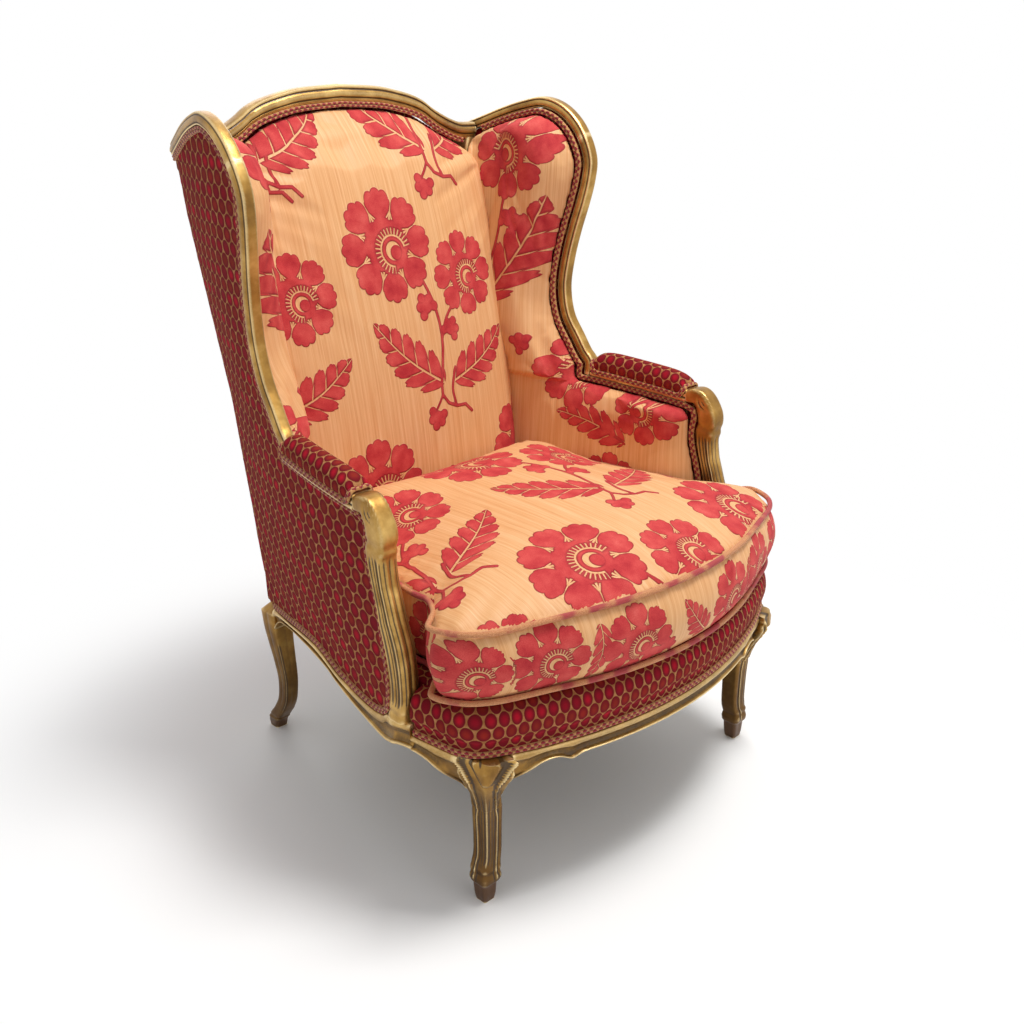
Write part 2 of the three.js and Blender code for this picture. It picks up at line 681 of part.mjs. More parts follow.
// Inner back: a deep stuffed pad between the side pads, rolled back to the crest rail at its top.
const backColumnShares = [-1, -0.93, -0.8, -0.6, -0.36, -0.12, 0.12, 0.36, 0.6, 0.8, 0.93, 1];
const backRowShares = [0, 0.11, 0.22, 0.33, 0.44, 0.55, 0.66, 0.77, 0.88, 1];
const backRollShares = [0.35, 0.7, 0.9, 1];
const crestUnderZ = (x) => crestTopZ(x) - 2 * crestHalf - gimpClear;

// Straight up to where the roll starts, then over the roll to the crest rail's gimp.
function makeInnerBackPad() {
  const bottom = deckTopZ + joint;
  const rowZ = (x, share, roll) => {
    const top = crestUnderZ(x) - gimpWidth;
    return mix(bottom, top - padRoll, share) + roll * padRoll;
  };
  const rows = [...backRowShares.map((share) => [share, 0]), ...backRollShares.map((roll) => [1, roll])];
  const rings = rows.map(([share, roll]) => {
    const column = (across, isRear) => {
      const x = across * (sideX(innerBackFootY + innerBackLean, crestLevel) - padInner);
      const z = rowZ(x, share, roll);
      const crown = backCrown * (1 - across ** 4) * Math.sin(Math.PI * clamp01((z - bottom) / innerBackRise));
      const face = mix(innerBackY(z) - crown, crestMidY(x) - crestDepthHalf, 1 - Math.cos((roll * Math.PI) / 2));
      const back = mix(stileFrontY(z) - webThick - looseFit, crestMidY(x), roll);
      const y = isRear ? back : face;
      return new THREE.Vector3(across * (sideX(y, z) - padInner - 2 * looseFit), y, z);
    };
    return slabRing(backColumnShares.map((a) => column(a, false)), backColumnShares.map((a) => column(a, true)));
  });
  addMesh('inner_back_pad', loft(rings, 'slab'), ...velvet);
}

function makeOuterBack() {
  const columns = [-1, -0.9, -0.75, -0.5, -0.25, 0, 0.25, 0.5, 0.75, 0.9, 1];
  const topAt = (across) => {
    const corner = wingUnderZ(backCornerY) - joint;
    return Math.min(crestUnderZ(across * crestHalfWidth), mix(crownLevel, corner, smooth((Math.abs(across) - 0.9) * 10)));
  };
  const point = (across, z, thick) => {
    const y = outerBackY(z);
    return new THREE.Vector3(across * (sideX(y, z) + panelOut), y - thick, z);
  };
  const ring = (zAt) => slabRing(columns.map((a) => point(a, zAt(a), 0)), columns.map((a) => point(a, zAt(a), outerBackThick)));
  const below = stileLevels.at(-1);
  const rings = [...stileLevels.map((z) => ring(() => z)), ring((a) => mix(below, topAt(a), 1 / 2)), ring(topAt)];
  addMesh('outer_back_panel', loft(rings, 'slab'), ...dotted);
}

// The band line runs round the front of the seat, from one arm post to the other, just inside the mouldings.

const borderRearY = postToe - joint;
const frontLineY = (x) => frontY(x) + mouldProud;

function bandCurve() {
  const cornerY = frontLineY(frontCornerX);
  const kneeY = mix(cornerY, borderRearY, 1 / 4);
  const side = [0, 0.4, 0.75, 1].map((share) => mix(borderRearY, kneeY, share))
    .map((y) => new THREE.Vector3(sideX(y, railLevel), y, 0));
  const corner = new THREE.Vector3(sideX(cornerY, railLevel) - cornerPull, cornerY + cornerPull, 0);
  const front = [0.88, 0.7, 0.5, 0.25, 0].map((share) => share * frontCornerX)
    .map((x) => new THREE.Vector3(x, frontLineY(x), 0));
  const half = [...side, corner, ...front];
  const mirrored = half.slice(0, -1).reverse().map((p) => new THREE.Vector3(-p.x, p.y, 0));
  return new THREE.CatmullRomCurve3([...half, ...mirrored], false, 'centripetal');
}

const bandFootZ = (y) => Math.max(frontMouldTopZ, y > frontLineY(frontCornerX) ? sideMouldTopZ(y) : 0) + joint;

// Rings along the band line, each from the section of [outwards, height] pairs at that depth.
function bandRings(count, sectionAt) {
  const curve = bandCurve();
  const rings = [];
  for (let i = 0; i <= count; i++) {
    const point = curve.getPointAt(i / count);
    const along = curve.getTangentAt(i / count);
    rings.push(sectionAt(point.y).map(([out, z]) =>
      new THREE.Vector3(point.x - along.y * out, point.y + along.x * out, z)));
  }
  return rings;
}

const borderFaceShares = [[0.14, 0], [0.24, 0.55], [0.46, 1], [0.68, 0.8], [0.86, 0.25], [0.97, -0.7]];

function makeFrontBorder() {
  const section = (y) => {
    const foot = bandFootZ(y);
    const start = Math.min(foot + gimpWidth + joint, railTopZ);
    const face = borderFaceShares.map(([up, swell]) => [borderBase + swell * borderSwell, mix(start, borderTopZ, up)]);
    return [[panelIn, foot], [borderBase, foot], ...face, [-borderLedge, borderTopZ],
      [-borderLedge, railTopZ + joint], [panelIn, railTopZ + joint]];
  };
  addMesh('front_border', loft(bandRings(40, section)), ...dotted);
}

function makeFrontGimp() {
  const out = borderBase + joint;
  const section = (y) => {
    const low = bandFootZ(y);
    return [[out, low], [out + gimpProud, low + gimpClear], [out + gimpProud, low + 2 * gimpHalf - gimpClear],
      [out, low + 2 * gimpHalf]];
  };
  addMesh('front_gimp', loft(bandRings(40, section)), ...dotted);
}

// Seat: webbing and springs between the rails, hessian and a stuffed deck over them, dust cover below.

// Half outline of the seat inside the rails, from the back to the front, on the right.
function seatHalf(sideStep, frontStep, rearY) {
  const notchX = frontRailEnd - joint;
  const notchY = sideRailFrontY + joint;
  const side = [...[0, 0.2, 0.4, 0.6, 0.8].map((share) => mix(rearY, sideBendY, share)), sideBendY, notchY]
    .map((y) => new THREE.Vector2(sideX(y, railLevel) - sideStep, y));
  const front = [1, 0.75, 0.5, 0.25, 0].map((share) => share * notchX)
    .map((x) => new THREE.Vector2(x, frontY(x) + frontStep));
  return [...side, new THREE.Vector2(notchX, notchY), ...front];
}

function mirrorOutline(half) {
  const left = half.filter((p) => p.x > 0).reverse().map((p) => new THREE.Vector2(-p.x, p.y));
  return [...half, ...left];
}

function flatSheet(outline, z, thick) {
  const geometry = new THREE.ExtrudeGeometry(new THREE.Shape(outline), { depth: thick, bevelEnabled: false });
  geometry.translate(0, 0, z);
  return geometry;
}

function piercedSheet(outline, holes, z, thick) {
  const around = THREE.ShapeUtils.isClockWise(outline) ? [...outline].reverse() : outline;
  const contours = [around, ...holes].map((points) => points.map((p) => [p.x, p.y]));
  const { vertProperties, triVerts } = solids.Manifold.extrude(contours, thick).getMesh();
  const geometry = new THREE.BufferGeometry();
  geometry.setAttribute('position', new THREE.BufferAttribute(vertProperties, 3));
  geometry.setIndex(new THREE.BufferAttribute(triVerts, 1));
  geometry.translate(0, 0, z);
  return geometry;
}

const innerRearY = rearLegFrontY - joint;
const railInnerHalf = () => seatHalf(railInside + looseFit, frontRailDepth + looseFit, innerRearY);

// The deck lies between the side rails' inner halves and inside the front border's ledge.
function deckOutline() {
  const side = [1, 0.75, 0.5, 0.25].map((share) => mix(borderRearY, innerRearY, share))
    .map((y) => new THREE.Vector2(sideX(y, railLevel) - deckInset, y));
  const left = [...side].reverse().map((p) => new THREE.Vector2(-p.x, p.y));
  const front = bandRings(26, () => [[-borderLedge - looseFit, 0]]).map(([p]) => new THREE.Vector2(p.x, p.y));
  return [...side, ...front, ...left];
}

// Square gaps between interlaced straps, centred on the middle of the sheet.
function strapGaps(columns, rows, centreB, fits) {
  const gaps = [];
  const pitch = strapWidth + strapGap;
  for (let i = 0; i < columns; i++) {
    for (let j = 0; j < rows; j++) {
      const a = (i - (columns - 1) / 2) * pitch;
      const b = centreB + (j - (rows - 1) / 2) * pitch;
      const h = strapGap / 2;
      const hole = [[a - h, b - h], [a - h, b + h], [a + h, b + h], [a + h, b - h]];
      if (hole.every(([x, y]) => fits(x, y))) gaps.push(hole.map(([x, y]) => new THREE.Vector2(x, y)));
    }
  }
  return gaps;
}

function makeSeatInsides() {
  const inner = mirrorOutline(railInnerHalf());
  const middleY = (innerRearY + seatFrontY + frontRailDepth) / 2;
  const edge = strapGap / 2;
  const fits = (x, y) => Math.abs(x) < sideX(y, railLevel) - railInside - edge
    && y > frontY(x) + frontRailDepth + edge && y < innerRearY - edge;
  addMesh('seat_webbing', piercedSheet(inner, strapGaps(6, 7, middleY, fits), webZ, webThick), ...jute);
  addMesh('dust_cover', flatSheet(inner, dustZ, dustThick), '#2b2724', 0.95, 0);
  const deck = deckOutline();
  const hessianZ = railTopZ + joint;
  addMesh('spring_hessian', flatSheet(deck, hessianZ, hessianThick), ...jute);
  const deckZ = hessianZ + hessianThick + joint;
  addMesh('seat_deck', flatSheet(deck, deckZ, deckTopZ - deckZ), '#c9b48c', 0.95, 0);
}

// Waisted seat spring, wound as one unbroken wire.
class SpringCurve extends THREE.Curve {
  constructor(centreX, centreY, low, high) {
    super();
    this.place = { centreX, centreY, low, high };
  }

  getPoint(t, target = new THREE.Vector3()) {
    const { centreX, centreY, low, high } = this.place;
    const radius = mix(springWaistR, springR, Math.abs(2 * t - 1) ** 1.5);
    const angle = t * springTurns * 2 * Math.PI;
    return target.set(centreX + radius * Math.cos(angle), centreY + radius * Math.sin(angle), mix(low, high, t));
  }
}

function makeSprings() {
  const low = webZ + webThick + joint + springWireR;
  const high = railTopZ - springWireR;
  const wire = new THREE.Shape();
  const sides = 5;
  for (let i = 0; i < sides; i++) {
    const angle = (i / sides) * 2 * Math.PI;
    wire[i ? 'lineTo' : 'moveTo'](springWireR * Math.cos(angle), springWireR * Math.sin(angle));
  }
  const places = { centre: [0, 0], front_left: [-1, -1], front_right: [1, -1], rear_left: [-1, 1], rear_right: [1, 1] };
  for (const [place, [across, back]] of Object.entries(places)) {
    const curve = new SpringCurve(across * springOffsetX, springCentreY + back * springOffsetY, low, high);
    const geometry = new THREE.ExtrudeGeometry(wire, { extrudePath: curve, steps: 8 * springTurns, bevelEnabled: false });
    addMesh(`seat_spring_${place}`, geometry, '#8d8f92', 0.4, 0.9);
  }
}

function makeCornerBlocks() {
  const block = (points) => flatSheet(points.map(([x, y]) => new THREE.Vector2(x, y)), blockLowZ, blockTopZ - blockLowZ);
  const sideAt = (y) => sideX(y, railLevel) - railInside - joint;
  const notchX = frontRailEnd - joint;
  const notchY = sideRailFrontY + joint;
  const frontAt = (x) => frontY(x) + frontRailDepth + joint;
  addPair('front_corner_block', block([[notchX, notchY], [sideAt(notchY), notchY], [sideAt(notchY + blockLeg), notchY + blockLeg],
    [notchX - blockLeg, frontAt(notchX - blockLeg)], [notchX, frontAt(notchX)]]), ...bareWood);
  const rearRailY = stileRearY(railLevel) - rearRailDepth - joint;
  const rearY = Math.min(rearRailY, innerRearY);
  addPair('rear_corner_block', block([[sideAt(rearY) - joint, rearY], [sideAt(rearY) - blockLeg, rearY],
    [sideAt(rearY - blockLeg) - joint, rearY - blockLeg]]), ...bareWood);
}

function makeTackRails() {
  const shares = [0, 0.25, 0.5, 0.75, 1];
  const front = frontEdgeY(panelOutline, tackHighZ) + looseFit;
  const rings = shares.map((share) => {
    const y = mix(front, stileFrontY(tackLowZ) - joint, share);
    const at = (out, z) => new THREE.Vector3(sideX(y, z) + out, y, z);
    const inner = looseFit - padOuter;
    return [at(coverProud, tackLowZ), at(coverProud, tackHighZ), at(inner, tackHighZ), at(inner, tackLowZ)];
  });
  addPair('side_tack_rail', loft(rings), ...bareWood);
}

function makeLowerBackRail() {
  const high = lowBackRailZ + lowBackRailHeight;
  const section = [[0, lowBackRailZ], [1, lowBackRailZ], [1, high], [0, high]]
    .map(([back, z]) => [stileFrontY(z) + joint + back * (stileDepth - looseFit), z]);
  const end = section.map(([y, z]) => onSide(-stileIn - joint, y, z));
  const otherEnd = end.map((p) => new THREE.Vector3(-p.x, p.y, p.z));
  addMesh('lower_back_rail', loft([otherEnd, end]), ...bareWood);
}

function makeBackHessian() {
  const low = lowBackRailZ;
  const high = crestUnderZ(crestHalfWidth) - gimpWidth - padRoll;
  const levels = [low, ...stileLevels.filter((z) => z > low && z < high), high];
  const rings = levels.map((z) => {
    const y = stileFrontY(z) - joint;
    const half = sideX(y, z) - webEdge;
    return slabRing([new THREE.Vector3(-half, y, z), new THREE.Vector3(half, y, z)],
      [new THREE.Vector3(-half, y - webThick, z), new THREE.Vector3(half, y - webThick, z)]);
  });
  addMesh('back_hessian', loft(rings, 'slab'), ...jute);
}

// Arm pads sit on the arm rails, with a welt round their foot.

const armPadShares = [[1.5, 0.33], [1.45, 0.62], [0.95, 0.9], [0, 1]];
const armPadEndShares = [[0, 0.4], [0.02, 0.65], [0.07, 0.85], [0.18, 0.97], [0.4, 1], [0.65, 0.98], [0.85, 0.9], [0.95, 0.7], [1, 0.45]];

function makeArmPads() {
  const foot = gimpProud + gimpClear;
  const right = [[1, 0, 0], [1, 0, foot], ...armPadShares.map(([across, up]) => [across, up, foot])];
  const left = right.slice(0, -1).reverse().map(([across, up, low]) => [-across, up, low]);
  const rings = armPadEndShares.map(([along, size]) => {
    const y = mix(armPadFrontY, armPadRearY, along);
    const base = armTopZ(y) + joint;
    return [...right, ...left].map(([across, up, low]) => {
      const half = armPadBase * mix(1, size, Math.abs(across) > 1 ? 1 : 0);
      return onSide(across * half, y, base).setZ(base + low + up * (armPadRise - foot) * size);
    });
  });
  addPair('arm_pad', loft(rings), ...dotted);
}

// Round the pad's foot, square at its corners.
function makeArmPadGimps() {
  const inner = armPadBase + looseFit;
  const outer = postHalf - gimpClear;
  const along = [0, 0.25, 0.5, 0.75, 1];
  const rings = [1, -1].flatMap((side) => along.map((share) => {
    const forward = side > 0 ? share : 1 - share;
    const end = (share === 0 || share === 1) ? Math.sign(forward - 1 / 2) : 0;
    const at = (half, up) => {
      const y = mix(armPadFrontY, armPadRearY, forward) + end * (half - armPadBase);
      const base = armTopZ(y) + joint;
      return onSide(side * half, y, base).setZ(base + up);
    };
    return [at(inner, 0), at(outer, 0), at(outer, gimpProud), at(inner, gimpProud)];
  }));
  addPair('arm_pad_gimp', loft(rings, 'loop'), ...dotted);
}

// Gimps: narrow double welts that hide the tacks, laid on the edges of the panels.

function gimpSolid(pairs, near, far) {
  const [inner, outer] = [movedLine(pairs, gimpHalf), movedLine(pairs, -gimpHalf)];
  return loft(pairs.map((_, i) => [[near, inner], [far, inner], [far, outer], [near, outer]]
    .map(([out, line]) => onSide(out, ...line[i]))));
}

function makeSideGimps() {
  const { path } = sideOutline(gimpWidth / 2);
  const above = (z) => path.filter((p, i) => p[1] > z + gimpWidth || i > woodPeak);
  const bottom = railBehindY().slice(0, -1)
    .map((y) => [y, sideMouldTopZ(y) + gimpWidth / 2 + gimpClear]);
  const near = panelOut + looseFit;
  addPair('outer_side_gimp', gimpSolid([...bottom, ...above(postFootZ)], near, near + gimpProud), ...dotted);
  const crestFront = crestMidY(crestHalfWidth) - crestDepthHalf - gimpWidth;
  const inner = above(deckTopZ).filter(([y]) => y < crestFront);
  addPair('inner_side_gimp', gimpSolid(inner, -padOuter, -padOuter - gimpDeep), ...dotted);
}

// A gimp under the crest rail, from its front or rear face inwards.
function acrossGimp(name, nearAt, depth, halfWidth) {
  const sections = 22;
  const rings = [];
  for (let i = 0; i <= sections; i++) {
    const x = (2 * (i / sections) - 1) * halfWidth;
    const middle = crestUnderZ(x) - gimpHalf - gimpClear;
    const near = nearAt(x, middle);
    rings.push([[near, -1], [near + depth, -1], [near + depth, 1], [near, 1]]
      .map(([y, up]) => new THREE.Vector3(x, y, middle + up * gimpHalf)));
  }
  addMesh(name, loft(rings), ...dotted);
}

function makeCrestGimps() {
  const halfWidth = crestHalfWidth - wingAcross - postHalf - looseFit * 2;
  acrossGimp('crest_gimp', (x) => crestMidY(x) - crestDepthHalf, gimpDeep, halfWidth);
  acrossGimp('outer_back_gimp', (x, z) => outerBackY(z) + joint, gimpProud, halfWidth);
}

// Cushion: loose, crowned, boxed, with a welt round its top and bottom edges.

function cushionCurve() {
  const reach = padInner + cushionGap + weltR;
  const sideAt = (y) => sideX(y, deckTopZ) - reach;
  const rearY = innerBackFootY - cushionGap - weltR;
  const cornerX = sideAt(rearY) - joint;
  const r = cushionRearCorner;
  const frontAt = (x) => cushionFrontY + cushionBow * (x / frontCornerX) ** 2;
  const frontX = cushionEarX * 0.86;
  const half = [
    [0, rearY - cushionDraw], [cornerX - r * 2, rearY - cushionDraw / 3], [cornerX - r * 0.7, rearY],
    [cornerX - r * 0.1, rearY - r * 0.35], [sideAt(rearY - r), rearY - r],
    ...[0.3, 0.6, 0.85].map((share) => mix(rearY - r, cushionEarY + r / 2, share)).map((y) => [sideAt(y), y]),
    [sideAt(cushionEarY + r / 2), cushionEarY + r / 2], [mix(sideAt(cushionEarY), cushionEarX, 0.55), cushionEarY],
    [cushionEarX, cushionEarY - r * 0.5], [cushionEarX * 0.965, mix(cushionEarY, frontAt(frontX), 0.62)],
    ...[0.88, 0.72, 0.5, 0.25].map((share) => [cushionEarX * share, frontAt(cushionEarX * share)]),
    [0, cushionFrontY],
  ];
  const mirrored = half.slice(1, -1).reverse().map(([x, y]) => [-x, y]);
  const points = [...half, ...mirrored].map(([x, y]) => new THREE.Vector3(x, y, 0));
  return new THREE.CatmullRomCurve3(points, true, 'centripetal');
}

const cushionLine = cushionCurve().getSpacedPoints(56).slice(0, -1);
const cushionLowZ = deckTopZ + cushionLift;

// The welts' line moved sideways: inwards for the cushion's own edge, outwards for what lies outside it.
function cushionOffset(step, pull = 1) {
  const count = cushionLine.length;
  return cushionLine.map((p, i) => {
    const along = new THREE.Vector3().subVectors(cushionLine[(i + 1) % count], cushionLine[(i + count - 1) % count]).normalize();
    const x = p.x + along.y * step * -1;
    const y = p.y - along.x * step * -1;
    return new THREE.Vector2(x * pull, cushionMiddleY + (y - cushionMiddleY) * pull);
  });
}

const cushionMiddleY = (cushionFrontY + innerBackFootY) / 2;

function makeCushion() {
  const inward = weltR + joint;
  const foot = deckTopZ + joint;
  const crown = (share) => cushionTopZ + cushionCrown * (1 - share ** 2.6);
  const levels = [[0.2, foot], [0.6, foot], [0.94, foot], [1, cushionLowZ],
    [1, cushionTopZ], [0.95, crown(0.95)], [0.86, crown(0.86)], [0.72, crown(0.72)], [0.52, crown(0.52)],
    [0.3, crown(0.3)], [0.1, crown(0.1)]];
  const rings = levels.map(([pull, z]) => cushionOffset(-inward, pull).map((p) => new THREE.Vector3(p.x, p.y, z)));
  addMesh('seat_cushion', loft(rings), ...velvet);
  makeWelt('cushion_welt_top', cushionTopZ);
  makeWelt('cushion_welt_bottom', cushionLowZ);
}

function makeWelt(name, z) {
  const sides = 5;
  const around = Array.from({ length: sides }, (_, i) => (i / sides) * 2 * Math.PI);
  const loops = around.map((angle) => cushionOffset(weltR * Math.cos(angle))
    .map((p) => new THREE.Vector3(p.x, p.y, z + weltR * Math.sin(angle))));
  const rings = loops[0].map((_, i) => loops.map((loop) => loop[i]));
  addMesh(name, loft(rings, 'loop'), ...velvet);
}

// The zip lies along the middle of the cushion's rear side.
function makeZip() {
  const sections = 12;
  const rear = cushionOffset(-weltR).filter((p) => p.y > cushionMiddleY)
    .map((p) => [p.x, p.y]).sort((a, b) => a[0] - b[0]);
  const middle = (cushionLowZ + cushionTopZ) / 2;
  const rings = [];
  for (let i = 0; i <= sections; i++) {
    const x = mix(-zipLength, zipLength, i / sections) / 2;
    const y = readTable(rear, x);
    rings.push([[0, -1], [zipThick, -1], [zipThick, 1], [0, 1]]
      .map(([out, up]) => new THREE.Vector3(x, y + out, middle + (up * zipHeight) / 2)));
  }
  addMesh('cushion_zip', loft(rings), '#7c5a3a', 0.5, 0.3);
}

makeFrontLeg();
makeRearLeg();
makeSideRails();
makeFrontRail();
makeRearRail();
makeArmPost();
makeArmRail();
makeWings();
makeCrest();
makeOuterSidePanels();
makeInnerSidePads();
makeInnerBackPad();
makeOuterBack();
makeFrontBorder();
makeFrontGimp();
makeSeatInsides();
makeSprings();
makeCornerBlocks();
makeTackRails();
makeLowerBackRail();
makeBackHessian();
makeArmPads();
makeArmPadGimps();
makeSideGimps();
makeCrestGimps();
makeCushion();
makeZip();

// The floor's origin lies under the middle of the chair's depth.
const box = new THREE.Box3().setFromObject(chair);
chair.position.y = -(box.min.y + box.max.y) / 2;

export default chair;
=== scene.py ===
import math
from functools import partial

import bmesh
import bpy
import numpy as np
from mathutils import Matrix, Vector


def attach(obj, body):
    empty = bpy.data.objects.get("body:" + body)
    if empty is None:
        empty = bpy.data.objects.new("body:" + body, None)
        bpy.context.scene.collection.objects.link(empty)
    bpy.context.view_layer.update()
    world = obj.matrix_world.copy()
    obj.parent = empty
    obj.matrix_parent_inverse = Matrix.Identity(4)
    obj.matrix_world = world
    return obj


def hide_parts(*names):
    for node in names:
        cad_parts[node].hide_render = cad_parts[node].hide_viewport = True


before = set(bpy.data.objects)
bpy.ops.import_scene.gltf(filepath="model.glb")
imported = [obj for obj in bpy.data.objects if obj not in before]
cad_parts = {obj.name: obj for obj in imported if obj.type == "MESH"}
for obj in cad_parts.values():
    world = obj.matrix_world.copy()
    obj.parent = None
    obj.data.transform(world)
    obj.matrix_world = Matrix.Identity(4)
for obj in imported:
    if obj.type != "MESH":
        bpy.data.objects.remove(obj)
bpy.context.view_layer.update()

scene = bpy.context.scene
scene.view_settings.view_transform = "Standard"

# Sizes, in millimetres from the middle of the seat. They become metres when a mesh is made.
MM_IN_METRE = 1000
SEAT_MIDDLE_Y = 33.45           # that middle, in the frame's own Y
JOINT = 0.3
LOOSE = 1

ARM_LINE_X, ARM_LINE_Y = 366, -200
SIDE_RUN, SIDE_BEND_Y = 500, -212
# How far a side lies in from the arms' line at the rail, the arm and the corner: midway, and at the back.
SIDE_INSET_MIDDLE, SIDE_INSET_REAR = (52, 27, 4), (115, 95, 50)
RAIL_Z, ARM_Z, CORNER_Z, CROWN_Z = 288, 626, 1023, 1115
KNEE_INSET, KNEE_RUN = 42, 154
BACK_CORNER_Y, BACK_RAKE = 371, 82
BACK_PANEL, STILE_DEPTH, STILE_IN = 8, 34, 28
RAIL_TOP_Z, RAIL_INSIDE, MOULD_PROUD = 318, 32, 14
FRONT_Y, FRONT_BOW, FRONT_CORNER_X = -438, 82, 325
FRONT_MOULD_Z, FRONT_LOW_Z, FRONT_DEPTH, REAR_LOW_Z = 262, 236, 36, 244
CUSP_X, CUSP_DROP = 208, 6
ARCH_Z, ARCH_DROP = 261, 39
MOULD_LOW_Z, MOULD_RISE = 260, 29
POST_HALF, POST_SWEEP = 17, 35
WING_HALF, WING_ACROSS, WING_TIP = 9.5, 12, 8.5
WING_FOOT_Y, WING_RISE = 60, 453
ARM_DROP, ARM_THICK, ARM_FRONT_Y = 16, 23, -152
ARM_REAR_Y = WING_FOOT_Y - WING_HALF - JOINT
CREST_HALF, CREST_DEPTH, CREST_REACH = 13, 16, 297
CREST_Y, CREST_CURVE, CREST_DROP = 350, 11, 72
PANEL_IN, PANEL_OUT = 0.6, 7
PAD_OUTER, PAD_INNER = 10, 45
INNER_BACK_Y, DECK_Z = 148, 345
BORDER_Z, BORDER_BASE, BORDER_SWELL, BORDER_LEDGE, CORNER_PULL = 340, 8, 9, 18.6, 5
GIMP_HALF, GIMP_CLEAR = 4.6, 0.4
GIMP_WIDTH = 2 * GIMP_HALF + 4 * GIMP_CLEAR
PAD_FRONT_Y, PAD_REAR_Y, PAD_SKIRT, PAD_WELT_Z = -147, 45, 17.3, -12.5
WELT, WELT_TOP_Z, WELT_LOW_Z = 4.2, 441, 351.5
CUSHION_FRONT_Y, CUSHION_BOW, CUSHION_EAR = -438, 100, (341, -268)
CUSHION_GAP, CUSHION_CORNER, CUSHION_DRAW, CUSHION_CROWN = 2, 34, 7, 50

# Outlines as shares: across first, then up.
WING = [(0, 0), (.042, .034), (.098, .093), (.175, .177), (.212, .289), (.2, .404), (.166, .519),
        (.121, .631), (.094, .715), (.09, .795), (.17, .903), (.289, .972), (.421, 1), (.553, .987),
        (.691, .96), (.85, .92), (1, .884)]
WING_SPLIT = 0.6
POST = [(0, .995), (.1, .9), (0, .78), (.15, .67), (.42, .56), (.62, .47), (.83, .36), (.96, .25),
        (1, .13), (.86, 0)]
POST_SWELL = [.68, .9, 1.1, 1.14, 1, .86, .92, 1.05, 1.12, 1.1, 1, 1, 1]
CREST = [(0, 0), (.28, .07), (.41, .165), (.52, .28), (.6, .415), (.67, .6), (.745, .765), (.82, .9),
         (.893, .985), (1, 1)]
RAIL_LOW = [(0, .35), (.08, .1), (.2, -.14), (.33, -.18), (.43, -.12), (.49, .05), (.6, .28), (.7, .42),
            (.78, .5), (.81, .42), (.85, .32), (.91, .42), (.96, .5), (1, .7)]
RAIL_TOP = [(0, .1), (.13, .42), (.35, .85), (.52, .45), (.61, .38), (.7, .41), (.77, .65), (.81, 1),
            (.845, .95), (.877, .41), (.92, .27), (.967, .14), (1, .07)]
# Legs: height, sideways and depth offsets, half width.
FRONT_LEG = [(0, 0, 0, .86), (.04, 0, 0, 1), (.085, 0, 0, 1.06), (.13, 0, .1, 1.16), (.17, 0, .12, 1.18),
             (.21, -.25, 0, 1.12), (.28, -.5, 0, 1.08), (.44, -.5, .04, 1.12), (.58, -.3, .2, 1.24),
             (.68, .2, .5, 1.42), (.76, .64, .8, 1.62), (.82, 1, 1, 2)]
REAR_LEG = [(0, 0, 1, .86), (.05, 0, .98, .98), (.12, 0, .76, 1.1), (.2, 0, .42, 1.06), (.32, 0, .1, 1),
            (.46, 0, 0, 1.03), (.6, 0, .1, 1.14), (.74, .2, .24, 1.3), (.87, .6, .33, 1.46),
            (1, 1, .36, 1.54)]
LEG_HALF, FRONT_LEG_HALF, FRONT_FOOT, REAR_FOOT = 14, 15.4, (309, -324), (257, 296)
KNEE_OUT, REAR_KNEE_Z, REAR_KICK, REAR_KNEE_HALF = (13, 14), 250, 46, 21.5
FRONT_RAIL_END = 293.7
KNEE_DROP, KNEE_SWEEP, KNEE_LEAN, RAIL_HIDDEN = 40, 70, 25, 9
SIDE_RAIL_FRONT_Y = -309.7
REAR_LEG_Y = REAR_FOOT[1] - REAR_KICK * 0.64 - REAR_KNEE_HALF


def mix(a, b, t):
    return a + (b - a) * t


def ease(t):
    t = np.clip(t, 0, 1)
    return t * t * (3 - 2 * t)


def swell(value, middle, width):
    """1 at the middle, and next to nothing two widths away from it."""
    return np.exp(-((value - middle) / width) ** 2)


def read(table, x):
    """The value at x of a table of pairs."""
    xs, ys = zip(*table)
    return np.interp(x, xs, ys)


def bend(t, middle, end):
    """A bend that starts from 0, and passes the middle value halfway to its end."""
    return t * (4 * middle - end) + t * t * (2 * end - 4 * middle)


def by_level(z, low, middle, high):
    """A value at a height, from those at the rail, the arm and the back's corner."""
    below = mix(low, middle, np.clip((z - RAIL_Z) / (ARM_Z - RAIL_Z), 0, 1))
    return np.where(z < ARM_Z, below, mix(middle, high, (z - ARM_Z) / (CORNER_Z - ARM_Z)))


def side_x(y, z):
    """Half the chair's width at a depth and height: the line of the side."""
    y, z = np.asarray(y, float), np.asarray(z, float)
    t = (np.maximum(y, SIDE_BEND_Y) - ARM_LINE_Y) / SIDE_RUN
    inset = bend(t, by_level(z, *SIDE_INSET_MIDDLE), by_level(z, *SIDE_INSET_REAR))
    return ARM_LINE_X - inset - KNEE_INSET * np.maximum(0, SIDE_BEND_Y - y) / KNEE_RUN


def front_y(x):
    return FRONT_Y + FRONT_BOW * (np.asarray(x, float) / FRONT_CORNER_X) ** 2


def outer_back_y(z):
    return BACK_CORNER_Y - BACK_RAKE * (1 - ease((np.asarray(z, float) - RAIL_Z) / (CORNER_Z - RAIL_Z)))


def stile_front_y(z):
    return outer_back_y(z) - BACK_PANEL - JOINT - STILE_DEPTH


def arm_top_z(y):
    return ARM_Z - ARM_DROP * np.clip((ARM_REAR_Y - np.asarray(y, float)) / (ARM_REAR_Y - ARM_FRONT_Y), 0, 1)


def crest_top_z(x):
    return CROWN_Z - CREST_DROP * read(CREST, np.abs(x) / CREST_REACH)


def crest_mid_y(x):
    return CREST_Y - CREST_CURVE * (np.asarray(x, float) / CREST_REACH) ** 2


